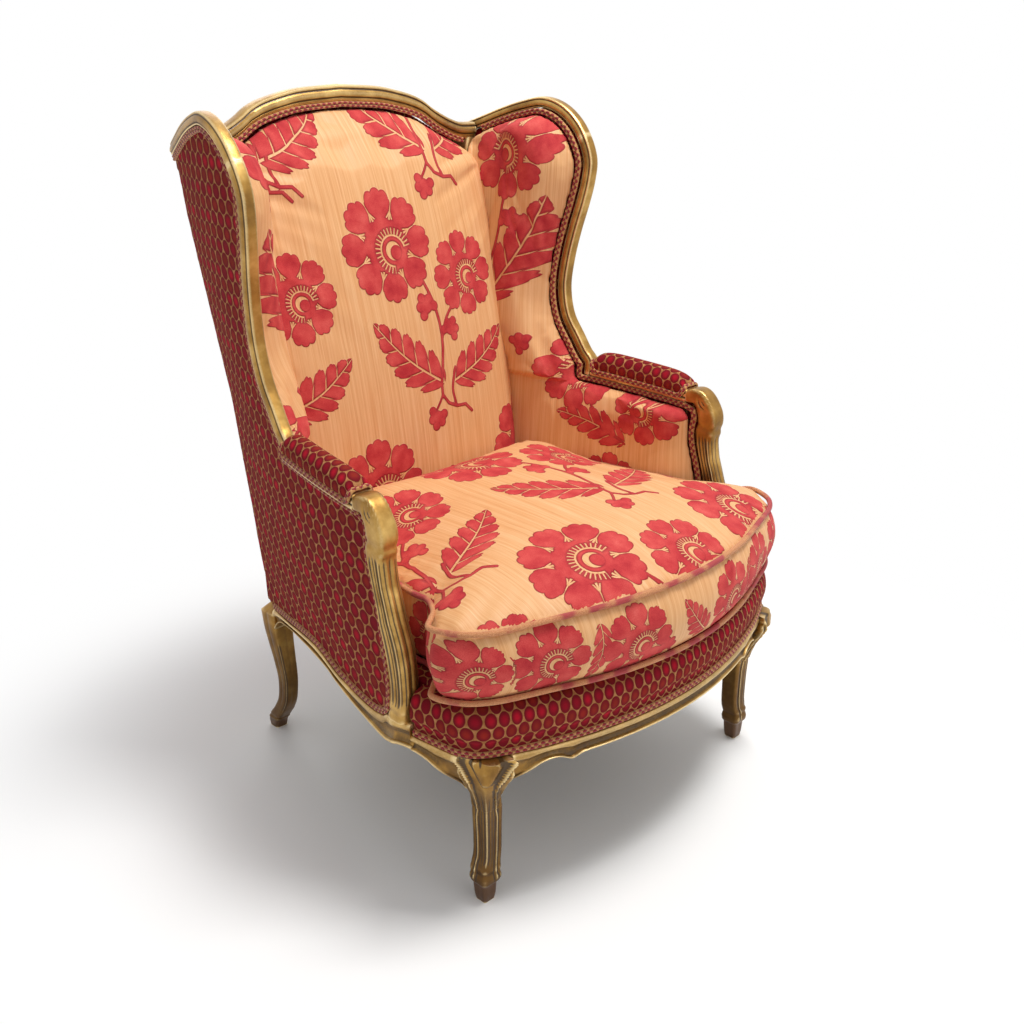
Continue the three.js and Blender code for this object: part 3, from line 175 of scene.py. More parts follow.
def crest_under_z(x):
    return crest_top_z(x) - 2 * CREST_HALF - GIMP_CLEAR


def respace(points, count):
    """The same line, as count + 1 points at equal spaces."""
    points = np.asarray(points, float)
    steps = np.r_[0, np.cumsum(np.linalg.norm(np.diff(points, axis=0), axis=1))]
    at = np.linspace(0, steps[-1], count + 1)
    return np.stack([np.interp(at, steps, points[:, k]) for k in range(points.shape[1])], 1)


def smooth_line(points, count, closed=False):
    """A smooth curve through the points, in even steps."""
    p = np.asarray(points, float)
    if closed:
        ends = np.vstack([p[-1:], p, p[:2]])
    else:
        ends = np.vstack([2 * p[:1] - p[1:2], p, 2 * p[-1:] - p[-2:-1]])
    fine = []
    t = np.linspace(0, 1, 16, endpoint=False)[:, None]
    for i in range(len(ends) - 3):
        p0, p1, p2, p3 = ends[i:i + 4]
        d0, d1, d2 = (max(float(np.sum((b - a) ** 2)) ** 0.25, 1e-6)
                      for a, b in ((p0, p1), (p1, p2), (p2, p3)))
        m1 = ((p1 - p0) / d0 - (p2 - p0) / (d0 + d1) + (p2 - p1) / d1) * d1
        m2 = ((p2 - p1) / d1 - (p3 - p1) / (d1 + d2) + (p3 - p2) / d2) * d1
        fine.append((2 * t**3 - 3 * t**2 + 1) * p1 + (t**3 - 2 * t**2 + t) * m1
                    + (3 * t**2 - 2 * t**3) * p2 + (t**3 - t**2) * m2)
    fine.append(ends[-2:-1])
    return respace(np.vstack(fine), count)


def tangents(line):
    """Which way the line runs at each of its points."""
    t = np.gradient(line, axis=0)
    return t / np.linalg.norm(t, axis=1)[:, None]


def moved(line, step):
    """A line in a plane, moved towards its right by a step."""
    t = tangents(line)
    return line + step * np.stack([t[:, 1], -t[:, 0]], 1)


# Meshes

def ring_faces(rows, columns, loop=False):
    faces = []
    for i in range(rows if loop else rows - 1):
        a, b = i * columns, (i + 1) % rows * columns
        faces += [(a + j, a + (j + 1) % columns, b + (j + 1) % columns, b + j) for j in range(columns)]
    if not loop:
        faces += [tuple(range(columns))[::-1], tuple(range((rows - 1) * columns, rows * columns))]
    return faces


def new_mesh(name, points, faces):
    mesh = bpy.data.meshes.new(name)
    metres = (np.asarray(points, float).reshape(-1, 3) + (0, SEAT_MIDDLE_Y, 0)) / MM_IN_METRE
    mesh.from_pydata(metres.tolist(), [], [tuple(int(i) for i in face) for face in faces])
    bm = bmesh.new()
    bm.from_mesh(mesh)
    bmesh.ops.recalc_face_normals(bm, faces=bm.faces)
    bm.to_mesh(mesh)
    bm.free()
    return mesh


def give_fields(mesh, fields):
    for name, values in fields.items():
        values = np.asarray(values, np.float32)
        wide = values.ndim == 2
        field = mesh.attributes.new(name, "FLOAT_VECTOR" if wide else "FLOAT", "POINT")
        field.data.foreach_set("vector" if wide else "value", values.ravel())


def place(name, mesh, material, nodes, body="frame", crease=40):
    piece = bpy.data.objects.new(name, mesh)
    scene.collection.objects.link(piece)
    mesh.materials.clear()
    mesh.materials.append(material)
    mesh.shade_smooth()
    mesh.set_sharp_from_angle(angle=math.radians(crease))
    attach(piece, body)
    if nodes:
        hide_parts(*nodes)
    return piece


# A carved section's points are compared with those a 40th of the way round, in millimetres of hollow.
GROOVE_SPAN, GROOVE_FROM, GROOVE_FULL = 40, 0.08, 0.55


def grooves(rings):
    """How deep each point of the carved sections lies between its neighbours, 0 to 1."""
    near = max(1, rings.shape[1] // GROOVE_SPAN)
    before, after = np.roll(rings, near, axis=1), np.roll(rings, -near, axis=1)
    out = rings - rings.mean(axis=1, keepdims=True)
    out /= np.linalg.norm(out, axis=2, keepdims=True) + 1e-9
    depth = (((before + after) / 2 - rings) * out).sum(axis=2)
    return ease((depth - GROOVE_FROM) / GROOVE_FULL).ravel()


def place_rings(name, rings, material, slot, nodes, loop=False, fields=None, body="frame", crease=40):
    rings = np.asarray(rings, float)
    mesh = new_mesh(name, rings, ring_faces(rings.shape[0], rings.shape[1], loop))
    give_fields(mesh, {"groove": grooves(rings), **(fields or {})})
    return place(name, mesh, material, nodes, body, crease)


def place_pair(name, rings, material, slot, nodes, **more):
    """The right piece and its mirror image."""
    right = place_rings(name + "_right", rings, material, slot, [n + "_right" for n in nodes], **more)
    left = place_rings(name + "_left", np.asarray(rings) * (-1, 1, 1), material, slot,
                       [n + "_left" for n in nodes], **more)
    return right, left


def cloth_field(u, v):
    """Where a point lies on the flat cloth, in millimetres."""
    u, v = np.broadcast_arrays(np.asarray(u, float), np.asarray(v, float))
    return np.stack([u.ravel(), v.ravel(), np.zeros(u.size)], 1)


# Materials

def linear(colour):
    """A hex colour as linear light."""
    parts = [int(colour[i:i + 2], 16) / 255 for i in (1, 3, 5)]
    return tuple(c / 12.92 if c <= 0.04045 else ((c + 0.055) / 1.055) ** 2.4 for c in parts) + (1,)


def add_node(tree, kind, *values, out=None, stops=(), **named):
    """One node, with its settings and links, and the output asked for. A kind may carry an operation. Values
    go to the open inputs in order, or by name where that has a capital; the other names are settings."""
    kind, _, operation = kind.partition(" ")
    made = tree.nodes.new("ShaderNode" + kind)
    if operation:
        made.operation = operation
    for key, value in named.items():
        if key[0].islower():
            setattr(made, key, value)
    wires = list(zip([socket for socket in made.inputs if socket.enabled], values))
    wires += [(made.inputs[key.replace("_", " ")], value) for key, value in named.items() if key[0].isupper()]
    for socket, value in wires:
        if isinstance(value, bpy.types.NodeSocket):
            tree.links.new(value, socket)
        else:
            socket.default_value = linear(value) if isinstance(value, str) else value
    if stops:
        bar = made.color_ramp
        while len(bar.elements) < len(stops):
            bar.elements.new(0.5)
        for element, (place_at, colour) in zip(bar.elements, stops):
            element.position, element.color = place_at, linear(colour)
    if out is not None:
        return made.outputs[out]
    return next((socket for socket in made.outputs if socket.enabled), None)


def millimetres(add):
    """Places on the object in millimetres, for grain and wear."""
    return add("VectorMath MULTIPLY", add("NewGeometry", out="Position"), (MM_IN_METRE,) * 3)


def field_parts(add, name):
    """The three numbers of a field that each point of a piece carries."""
    vector = add("Attribute", attribute_name=name, out="Vector")
    return [add("SeparateXYZ", vector, out=part) for part in range(3)]


def new_material(name):
    """A new material, and the function that adds nodes to it."""
    material = bpy.data.materials.new(name)
    material.use_nodes = True
    return material, partial(add_node, material.node_tree)


def settle(material, height, depth_mm, **sockets):
    """Gives the material's shader its values, and a bump of so many millimetres."""
    tree = material.node_tree
    shader = tree.nodes["Principled BSDF"]
    for key, value in sockets.items():
        socket = shader.inputs[key.replace("_", " ")]
        if isinstance(value, bpy.types.NodeSocket):
            tree.links.new(value, socket)
        else:
            socket.default_value = value
    bump = add_node(tree, "Bump", Height=height, Distance=depth_mm / MM_IN_METRE, Strength=1.0)
    tree.links.new(bump, shader.inputs["Normal"])


# The gilding turns browner between these heights, and its grain and clouds repeat this often in a millimetre.
BROWN_FROM_Z, BROWN_TO_Z = 330.0, 120.0
GOLD_CLOUDS, GOLD_GRAIN = 0.02, 0.35


def gilded_wood():
    """Carved beech, gessoed and water gilt: soft gold, browner below, brown at the toes, with brown glaze
    in the hollows, partly glaze and partly painted shade, and a painted highlight of pale leaf on the sharp
    edges."""
    material, add = new_material("gilded_wood")
    at = millimetres(add)
    edge = add("NewGeometry", out="Pointiness")
    wear = add("Attribute", attribute_name="wear", out="Fac")
    cloudy = add("TexNoise", Vector=at, Scale=GOLD_CLOUDS, Detail=4, Roughness=0.6)
    fine = add("TexNoise", Vector=at, Scale=GOLD_GRAIN, Detail=5, Roughness=0.65)
    gold = add("ValToRGB", cloudy, stops=[(0.3, "#805C2A"), (0.5, "#A67D3C"), (0.72, "#D0A962")])
    height = add("SeparateXYZ", at, out="Z")
    low = add("MapRange", add("Math MULTIPLY_ADD", cloudy, 90.0, height), BROWN_FROM_Z, BROWN_TO_Z,
              interpolation_type="SMOOTHSTEP")
    gold = add("Mix", add("Math MULTIPLY", low, 0.78), gold, "#4F3319", data_type="RGBA")
    # Hollows, found by the groove field and by low pointiness, are painted dark brown: partly the gilder's
    # glaze, partly painted shade in the grooves and crevices.
    deep = add("Math MULTIPLY_ADD", fine, 0.5, add("Attribute", attribute_name="groove", out="Fac"))
    hollow = add("Math MAXIMUM", add("MapRange", deep, 0.45, 1.0, interpolation_type="SMOOTHSTEP"),
                 add("MapRange", add("Math MULTIPLY_ADD", fine, 0.04, edge), 0.515, 0.47,
                     interpolation_type="SMOOTHSTEP"))
    glazed_and_shaded = add("Mix", add("Math MULTIPLY", hollow, 0.88), gold, "#3A2711", data_type="RGBA")
    rub = add("Math ADD", add("Math MULTIPLY", fine, 0.55), add("Math MULTIPLY", wear, 0.75))
    rubbed = add("MapRange", rub, 0.52, 0.72, interpolation_type="SMOOTHSTEP")
    base = add("Mix", add("Math MULTIPLY", rubbed, 0.8), glazed_and_shaded, "#57361B", data_type="RGBA")
    # Painted highlight: the sharp edges, found by high pointiness, are painted pale gold (#F7DEA6).
    high = add("MapRange", add("Math MULTIPLY_ADD", fine, 0.03, edge), 0.535, 0.585,
               interpolation_type="SMOOTHSTEP")
    colour = add("Mix", add("Math MULTIPLY", high, 0.75), base, "#F7DEA6", data_type="RGBA")
    metal = add("Math SUBTRACT", 0.8, add("Math MULTIPLY", add("Math MAXIMUM", rubbed, hollow), 0.6))
    rough = add("Math MULTIPLY_ADD", fine, 0.3, 0.22)
    settle(material, fine, 0.15, Base_Color=colour, Metallic=metal, Roughness=rough)
    return material


# One column and two rows of the spots, and half a spot, across and up, in millimetres; the row's number is
# spread by ROW_STEP and the second set's by SET_STEP, so that each spot draws its own shade.
SPOT_PITCH, SPOT_HALF = (19.5, 36.0), (8.1, 9.6)
ROW_STEP, SET_STEP = 7.3, 51.7


def dotted_fabric():
    """Cut velvet spots, about 16 by 19 mm, crimson and rust by turns, on a tan ground left as a fine net."""
    material, add = new_material("dotted_fabric")
    u, v, _ = field_parts(add, "cloth")
    (wide, tall), (half_wide, half_tall) = SPOT_PITCH, SPOT_HALF

    def spot(shift):
        across = add("Math ADD", add("Math DIVIDE", u, wide), shift)
        up = add("Math ADD", add("Math DIVIDE", v, tall), shift)
        x = add("Math MULTIPLY", add("Math SUBTRACT", add("Math FRACT", across), 0.5), wide / half_wide)
        y = add("Math MULTIPLY", add("Math SUBTRACT", add("Math FRACT", up), 0.5), tall / half_tall)
        far = add("Math SQRT", add("Math ADD", add("Math MULTIPLY", x, x), add("Math MULTIPLY", y, y)))
        cell = add("Math ADD", add("Math FLOOR", across),
                   add("Math MULTIPLY", add("Math FLOOR", up), ROW_STEP))
        return far, cell

    (far_a, cell_a), (far_b, cell_b) = spot(0.0), spot(0.5)
    nearest = add("Math MINIMUM", far_a, far_b)
    second = add("Math LESS_THAN", far_b, far_a)
    cell = add("Mix", second, cell_a, add("Math ADD", cell_b, SET_STEP), data_type="FLOAT")
    chance = add("TexWhiteNoise", W=cell, noise_dimensions="1D", out="Value")
    flat = add("Attribute", attribute_name="cloth", out="Vector")
    pile = add("TexNoise", Vector=flat, Scale=0.9, Detail=3, Roughness=0.6)
    spot_mask = add("MapRange", add("Math MULTIPLY_ADD", pile, 0.1, nearest), 1.15, 1.05,
                    interpolation_type="SMOOTHSTEP")
    crimson = add("ValToRGB", chance, stops=[(0.0, "#780619"), (0.5, "#9A0A22"), (1.0, "#BE1029")])
    rust = add("Mix", add("Math MULTIPLY", second, 0.7), crimson, "#7C2A10", data_type="RGBA")
    shade = add("Mix", add("MapRange", nearest, 0.15, 1.0, interpolation_type="SMOOTHSTEP"), rust, "#6A0D18",
                data_type="RGBA")
    shade = add("Mix", add("Math MULTIPLY", pile, 0.12), shade, "#C23B45", data_type="RGBA")
    threads = add("TexWave", Vector=flat, Scale=0.31, Distortion=0.6, Detail=1.0, bands_direction="Y")
    ground = add("ValToRGB",
                 add("Math MULTIPLY_ADD", add("TexNoise", Vector=flat, Scale=0.12, Detail=2, Roughness=0.5),
                     0.6, add("Math MULTIPLY", threads, 0.4)),
                 stops=[(0.3, "#85522C"), (0.6, "#B97C4B"), (0.85, "#E0AC79")])
    colour = add("Mix", spot_mask, ground, shade, data_type="RGBA")
    height = add("Math ADD", add("Math MULTIPLY", spot_mask, 0.8), add("Math MULTIPLY", pile, 0.2))
    settle(material, height, 1.1, Base_Color=colour, Roughness=0.9, Specular_IOR_Level=0.15,
           Sheen_Weight=0.02, Sheen_Roughness=0.4, Sheen_Tint=linear("#F08080"))
    return material


# Half the width of a flower, and of a leaf.
FLOWER_MM, LEAF_MM = 88.0, 38.0


def blossom_drawing(add, name):
    """A scalloped flower, one unit from middle to edge: how many millimetres inside its pile a point is."""
    x, y, here = field_parts(add, name)
    mm = FLOWER_MM

    def polar(px, py):
        far = add("Math SQRT", add("Math ADD", add("Math MULTIPLY", px, px), add("Math MULTIPLY", py, py)))
        return far, add("Math ARCTAN2", py, px)

    def waves(angle, times, power, kind="COSINE"):
        turn = add("Math " + kind, add("Math MULTIPLY", angle, times))
        return add("Math POWER", add("Math ABSOLUTE", turn), power)

    def inside_band(value, low, high):
        above = add("Math MULTIPLY", add("Math SUBTRACT", value, low), mm)
        return add("Math MINIMUM", above, add("Math MULTIPLY", add("Math SUBTRACT", high, value), mm))

    far, angle = polar(x, y)
    rim = add("Math MULTIPLY_ADD", waves(angle, 4.0, 0.27), 0.38, 0.57)
    rim = add("Math MULTIPLY_ADD", waves(angle, 14.0, 0.7), 0.055, rim)
    figure = add("Math MULTIPLY", add("Math SUBTRACT", rim, far), mm)
    # The heart, off the middle: a ring with dashes round it, both open on one side, and a crescent within.
    hx, hy = add("Math SUBTRACT", x, 0.13), add("Math ADD", y, 0.1)
    near, round_it = polar(hx, hy)
    open_side = add("Math SUBTRACT", 0.6, add("Math COSINE", add("Math ADD", round_it, 0.75)))
    ring = inside_band(near, 0.255, 0.29)
    dash = add("Math MULTIPLY", waves(round_it, 15.0, 1.0, "SINE"), add("Math MULTIPLY", near, mm / 15))
    dashes = add("Math MINIMUM", add("Math SUBTRACT", 1.0, dash), inside_band(near, 0.29, 0.4))
    heart = add("Math MINIMUM", add("Math MAXIMUM", ring, dashes), add("Math MULTIPLY", open_side, 20.0))
    moon, _ = polar(add("Math SUBTRACT", hx, 0.06), add("Math ADD", hy, 0.04))
    crescent = add("Math MINIMUM", add("Math MULTIPLY", add("Math SUBTRACT", 0.165, near), mm),
                   add("Math MULTIPLY", add("Math SUBTRACT", moon, 0.135), mm))
    # Slits between the eight petals, narrower outwards, each with a fork at its inner end.
    notch = add("Math SUBTRACT", add("Math FRACT", add("Math MULTIPLY", angle, 4 / math.pi)), 0.5)
    notch = add("Math MULTIPLY", notch, math.pi / 4)
    across = add("Math MULTIPLY", add("Math ABSOLUTE", add("Math SINE", notch)),
                 add("Math MULTIPLY", far, mm))
    out = add("Math MULTIPLY",
              add("Math SUBTRACT", add("Math MULTIPLY", far, add("Math COSINE", notch)), 0.47), mm)
    slit = add("Math MULTIPLY_ADD", out, -0.055, 1.75)
    spine = add("Math MINIMUM", add("Math SUBTRACT", slit, across),
                inside_band(add("Math DIVIDE", out, mm), 0.0, 0.36))
    fork = add("Math ABSOLUTE",
               add("Math SUBTRACT", across, add("Math MULTIPLY", add("Math SUBTRACT", 13.0, out), 0.45)))
    forks = add("Math MINIMUM", add("Math SUBTRACT", 1.3, fork),
                inside_band(add("Math DIVIDE", out, mm), 0.02, 0.145))
    cut = add("Math MAXIMUM", add("Math MAXIMUM", heart, crescent), add("Math MAXIMUM", spine, forks))
    drawn = add("Math MINIMUM", figure, add("Math MULTIPLY", cut, -1.0))
    return add("Math MINIMUM", drawn, add("Math MULTIPLY", add("Math SUBTRACT", here, 0.99), 900.0))


def leaf_drawing(add, name):
    """A serrated leaf, 0 to 1 along it and across it in half widths: how far inside its pile a point is."""
    t, a, here = field_parts(add, name)
    side = add("Math ABSOLUTE", a)
    along = add("Math MINIMUM", add("Math MAXIMUM", t, 0.001), 0.999)
    full = add("Math POWER", add("Math SINE", add("Math MULTIPLY", add("Math POWER", along, 0.72), math.pi)),
               0.7)
    # Lobes by turns on the two sides, slanted towards the tip, each with small teeth.
    slant = add("Math MULTIPLY_ADD", side, -0.2, t)
    phase = add("Math MULTIPLY_ADD", slant, 5.5, add("Math MULTIPLY", add("Math GREATER_THAN", a, 0.0), 0.5))
    saw = add("Math POWER", add("Math ABSOLUTE", add("Math SINE", add("Math MULTIPLY", phase, math.pi))), 0.5)
    teeth = add("Math ABSOLUTE", add("Math SINE", add("Math MULTIPLY", phase, math.pi * 3)))
    saw = add("Math MULTIPLY_ADD", teeth, 0.16, saw)
    edge = add("Math MULTIPLY", full, add("Math MULTIPLY_ADD", saw, 0.46, 0.5))
    figure = add("Math MULTIPLY", add("Math SUBTRACT", edge, side), LEAF_MM)
    ends = add("Math MULTIPLY", add("Math MINIMUM", t, add("Math SUBTRACT", 1.0, t)), 4 * LEAF_MM)
    rib = add("Math SUBTRACT", add("Math MULTIPLY_ADD", t, -1.4, 2.0), add("Math MULTIPLY", side, LEAF_MM))
    beat = add("Math ABSOLUTE", add("Math SUBTRACT", add("Math FRACT", phase), 0.02))
    vein = add("Math SUBTRACT", 1.1, add("Math MULTIPLY", beat, LEAF_MM / 2))
    vein = add("Math MINIMUM", vein,
               add("Math MULTIPLY", add("Math MULTIPLY_ADD", edge, 0.72, add("Math MULTIPLY", side, -1.0)),
                   LEAF_MM))
    cut = add("Math MAXIMUM", rib, vein)
    drawn = add("Math MINIMUM", add("Math MINIMUM", figure, ends), add("Math MULTIPLY", cut, -1.0))
    return add("Math MINIMUM", drawn, add("Math MULTIPLY", add("Math SUBTRACT", here, 0.99), 900.0))


def figured_velvet():
    """A ribbed satin ground in peach and gold threads, with sprigs of crimson pile standing 1 mm above it."""
    material, add = new_material("figured_velvet")
    flat = add("Attribute", attribute_name="cloth", out="Vector")
    wide_streaks = add("TexNoise", Vector=add("VectorMath MULTIPLY", flat, (0.24, 0.003, 1)), Scale=1.0,
                       Detail=3, Roughness=0.6)
    thin_streaks = add("TexNoise", Vector=add("VectorMath MULTIPLY", flat, (0.9, 0.012, 1)), Scale=1.0,
                       Detail=3, Roughness=0.7)
    streaks = add("Math ADD", add("Math MULTIPLY", wide_streaks, 0.55),
                  add("Math MULTIPLY", thin_streaks, 0.45))
    ground = add("ValToRGB", streaks,
                 stops=[(0.28, "#CE8F56"), (0.43, "#DDA169"), (0.52, "#E4AE79"), (0.61, "#EAB986"),
                        (0.76, "#F2C99B")])
    pile = add("TexNoise", Vector=flat, Scale=0.8, Detail=4, Roughness=0.65)
    clouds = add("TexNoise", Vector=flat, Scale=0.03, Detail=3, Roughness=0.55)
    drawn = add("Math MAXIMUM", blossom_drawing(add, "bloom"),
                add("Attribute", attribute_name="figure", out="Fac"))
    drawn = add("Math MAXIMUM", drawn,
                add("Math MAXIMUM", leaf_drawing(add, "leaf_left"), leaf_drawing(add, "leaf_right")))
    ragged = add("Math MULTIPLY_ADD", add("Math SUBTRACT", pile, 0.5), 1.4, drawn)
    mask = add("MapRange", ragged, -0.35, 0.35, interpolation_type="SMOOTHSTEP")
    # Painted shade: the pile is painted darker, towards #851626, within 3.6 mm of its edge, for the shade
    # along its raised rim.
    inside = add("MapRange", drawn, 0.0, 3.6, interpolation_type="SMOOTHSTEP")
    red = add("ValToRGB", add("Math MULTIPLY_ADD", clouds, 0.6, add("Math MULTIPLY", pile, 0.4)),
              stops=[(0.32, "#A81F2A"), (0.48, "#C43B3C"), (0.6, "#D3524C"), (0.74, "#E0706A")])
    red = add("Mix", inside, add("Mix", 0.6, red, "#851626", data_type="RGBA"), red, data_type="RGBA")
    colour = add("Mix", mask, ground, red, data_type="RGBA")
    rise = add("MapRange", drawn, -0.9, 1.5, interpolation_type="SMOOTHSTEP")
    height = add("Math ADD",
                 add("Math ADD", add("Math MULTIPLY", rise, 0.8), add("Math MULTIPLY", thin_streaks, 0.16)),
                 add("Math MULTIPLY", pile, 0.08))
    rough = add("Math MULTIPLY_ADD", mask, 0.35, 0.5)
    settle(material, height, 1.5, Base_Color=colour, Roughness=rough, Specular_IOR_Level=0.3,
           Sheen_Weight=0.08, Sheen_Roughness=0.45, Sheen_Tint=linear("#F7B0A8"))
    return material


# The double welt: from knot to knot, half a knot, and each rib's middle and half width, in millimetres.
KNOT_PITCH, KNOT_HALF, RIB_MIDDLE, RIB_HALF = 11.0, 4.0, 2.4, 2.3


def welt_braid():
    """Double welt cord of the spotted cloth: two ribs, each with crimson knots between tan threads."""
    material, add = new_material("double_welt")
    u, v, _ = field_parts(add, "cloth")
    side = add("Math GREATER_THAN", v, 0.0)
    along = add("Math ADD", add("Math DIVIDE", u, KNOT_PITCH), add("Math MULTIPLY", side, 0.5))
    beat = add("Math MULTIPLY", add("Math ABSOLUTE", add("Math SUBTRACT", add("Math FRACT", along), 0.5)),
               KNOT_PITCH / KNOT_HALF)
    rib = add("Math MULTIPLY", add("Math SUBTRACT", add("Math ABSOLUTE", v), RIB_MIDDLE), 1 / RIB_HALF)
    far = add("Math SQRT", add("Math ADD", add("Math MULTIPLY", beat, beat), add("Math MULTIPLY", rib, rib)))
    speck = add("TexNoise", Vector=add("Attribute", attribute_name="cloth", out="Vector"), Scale=0.7,
                Detail=3, Roughness=0.6)
    knot = add("MapRange", add("Math MULTIPLY_ADD", speck, 0.5, far), 1.3, 1.08,
               interpolation_type="SMOOTHSTEP")
    dark = add("ValToRGB", speck, stops=[(0.3, "#6E0E19"), (0.7, "#A41E2C")])
    pale = add("ValToRGB", speck, stops=[(0.3, "#A7713C"), (0.7, "#DCA468")])
    colour = add("Mix", knot, pale, dark, data_type="RGBA")
    settle(material, add("Math ADD", knot, add("Math MULTIPLY", speck, 0.4)), 0.6, Base_Color=colour,
           Roughness=0.85, Sheen_Weight=0.3, Sheen_Roughness=0.45)
    return material


WAVES = math.pi / 10             # a wave texture of this scale repeats once in each millimetre


def woven(name, dark, light, pitch_mm, rough=0.95):
    """A plain weave: warp and weft threads that pass over and under each other at a real pitch."""
    material, add = new_material(name)
    at = millimetres(add)
    one = add("TexWave", Vector=at, Scale=WAVES / pitch_mm, Distortion=1.0, bands_direction="X")
    other = add("TexWave", Vector=at, Scale=WAVES / pitch_mm, Distortion=1.0, bands_direction="Y")
    weave = add("Math MAXIMUM", one, other)
    slubs = add("TexNoise", Vector=at, Scale=0.06, Detail=4, Roughness=0.6)
    colour = add("ValToRGB", add("Math MULTIPLY_ADD", slubs, 0.6, add("Math MULTIPLY", weave, 0.4)),
                 stops=[(0.3, dark), (0.75, light)])
    settle(material, weave, 0.4, Base_Color=colour, Roughness=rough)
    return material


def bare_beech():
    """Sawn beech, unfinished: pale brown with short darker flecks along the grain."""
    material, add = new_material("bare_beech")
    at = millimetres(add)
    grain = add("TexNoise", Vector=add("VectorMath MULTIPLY", at, (0.02, 0.35, 0.35)), Scale=1.0, Detail=5,
                Roughness=0.6)
    flecks = add("TexNoise", Vector=add("VectorMath MULTIPLY", at, (0.12, 0.9, 0.9)), Scale=1.0, Detail=2,
                 Roughness=0.5)
    colour = add("ValToRGB", grain, stops=[(0.3, "#A97C4C"), (0.55, "#C39A68"), (0.75, "#D4B184")])
    colour = add("Mix", add("MapRange", flecks, 0.62, 0.7, interpolation_type="SMOOTHSTEP"), colour,
                 "#8A5F38", data_type="RGBA")
    settle(material, grain, 0.3, Base_Color=colour, Roughness=0.75)
    return material


def metal_wire(name, dark, light, rough):
    """Drawn wire or stamped teeth: a metal with a dull skin where it has been handled."""
    material, add = new_material(name)
    tarnish = add("TexNoise", Vector=millimetres(add), Scale=0.15, Detail=4, Roughness=0.6)
    colour = add("ValToRGB", tarnish, stops=[(0.35, dark), (0.65, light)])
    settle(material, tarnish, 0.08, Base_Color=colour, Metallic=0.9,
           Roughness=add("Math MULTIPLY_ADD", tarnish, 0.3, rough))
    return material


GILT = gilded_wood()
DOTS = dotted_fabric()
VELVET = figured_velvet()
BRAID = welt_braid()
JUTE = woven("jute_hessian", "#8A6E45", "#C7AB78", 2.2)
CALICO = woven("deck_calico", "#B8A27A", "#DFCDA6", 1.6)
CAMBRIC = woven("black_cambric", "#1F1C1A", "#3B3633", 1.6)
BEECH = bare_beech()
STEEL = metal_wire("spring_steel", "#5C5F63", "#A5A8AC", 0.3)
BRASS = metal_wire("zip_brass", "#7C5A2A", "#C49A4E", 0.3)


# Lines of the side, each as depth and height in its own plane.

WING_DEPTH = BACK_CORNER_Y - WING_FOOT_Y
WING_FOOT_Z = ARM_Z - ARM_THICK
WING_LINE = smooth_line([(WING_FOOT_Y, WING_FOOT_Z)]
                        + [(WING_FOOT_Y + d * WING_DEPTH, ARM_Z + h * WING_RISE) for d, h in WING], 140)
WING_AT = np.linspace(0, 1, len(WING_LINE))
WING_SIZE = mix(WING_HALF, WING_TIP, ease((WING_AT - WING_SPLIT) / (1 - WING_SPLIT)))

POST_HEAD_Z = ARM_Z - ARM_DROP - ARM_THICK / 2
POST_FOOT_Z = MOULD_LOW_Z + MOULD_RISE + JOINT
POST_BENDS = [(ARM_LINE_Y + POST_HALF / 2 - d * POST_SWEEP, mix(POST_FOOT_Z, POST_HEAD_Z, h))
              for d, h in POST]
POST_LINE = smooth_line([(ARM_FRONT_Y - JOINT, POST_HEAD_Z), (mix(ARM_FRONT_Y, ARM_LINE_Y, 0.5), POST_HEAD_Z)]
                        + POST_BENDS[1:], 120)
POST_AT = np.linspace(0, 12, len(POST_LINE))
POST_SIZE = POST_HALF * np.interp(POST_AT, range(13), POST_SWELL)


def inside_wood(line, size, side):
    """The edge of the cloth beside a gilded member."""
    t = tangents(line)
    out = side * (size + GIMP_CLEAR)
    return np.stack([line[:, 0] + t[:, 1] * out, line[:, 1] - t[:, 0] * out], 1)


def wood_edge():
    wing = inside_wood(WING_LINE, WING_SIZE, 1)
    wing = wing[wing[:, 1] > WING_FOOT_Z]
    arm_y = np.linspace(ARM_FRONT_Y + GIMP_CLEAR, wing[0, 0] - 1, 30)
    arm = np.stack([arm_y, arm_top_z(arm_y) - ARM_THICK - GIMP_CLEAR], 1)
    post = inside_wood(POST_LINE, POST_SIZE, -1)
    post = post[post[:, 1] < arm[0, 1] - GIMP_WIDTH / 2][::-1]
    corner = [(wing[0, 0], WING_FOOT_Z - GIMP_CLEAR)]
    return respace(np.vstack([post, arm, corner, wing]), 420)


WOOD_EDGE = wood_edge()
WOOD_PEAK = int(np.argmax(WOOD_EDGE[:, 1]))


def rail_share(y):
    return (REAR_LEG_Y - np.asarray(y, float)) / (REAR_LEG_Y - SIDE_RAIL_FRONT_Y)


def side_low_z(y):
    return ARCH_Z - ARCH_DROP * read(RAIL_LOW_FINE, rail_share(y))


def side_mould_z(y):
    return MOULD_LOW_Z + MOULD_RISE * read(RAIL_TOP_FINE, rail_share(y))


RAIL_LOW_FINE = smooth_line(RAIL_LOW, 120)
RAIL_TOP_FINE = smooth_line(RAIL_TOP, 120)


# Gilded members: each is a carved section drawn along its line. Sections go round from the inner edge.

CARVED = [(.80, -1), (.86, -.80), (.80, -.66), (.98, -.5), (1, -.2), (.97, .1), (.90, .3), (.78, .42),
          (.74, .5), (.80, .62), (.78, .82), (.62, .97), (.4, 1), (0, 1.02)]


def both_sides(half):
    """A section from its right half, and its mirror image."""
    half = list(half)
    inner = half[:-1] if half[-1][0] == 0 else half
    return half + [(-a, b) for a, b in reversed(inner)]


def along_side(line, size, across, section, squares=()):
    """Rings of a section along a line of the side; the first and last stand square where given."""
    t = tangents(line)
    for at, way in squares:
        t[at] = way
    section = np.array(section)
    dx = section[None, :, 0] * np.asarray(across, float).reshape(-1, 1)
    n = section[None, :, 1] * np.asarray(size, float).reshape(-1, 1)
    y, z = line[:, :1], line[:, 1:]
    x = side_x(y, z)
    return np.stack([x + dx, y - t[:, 1:] * n, z + t[:, :1] * n], 2)


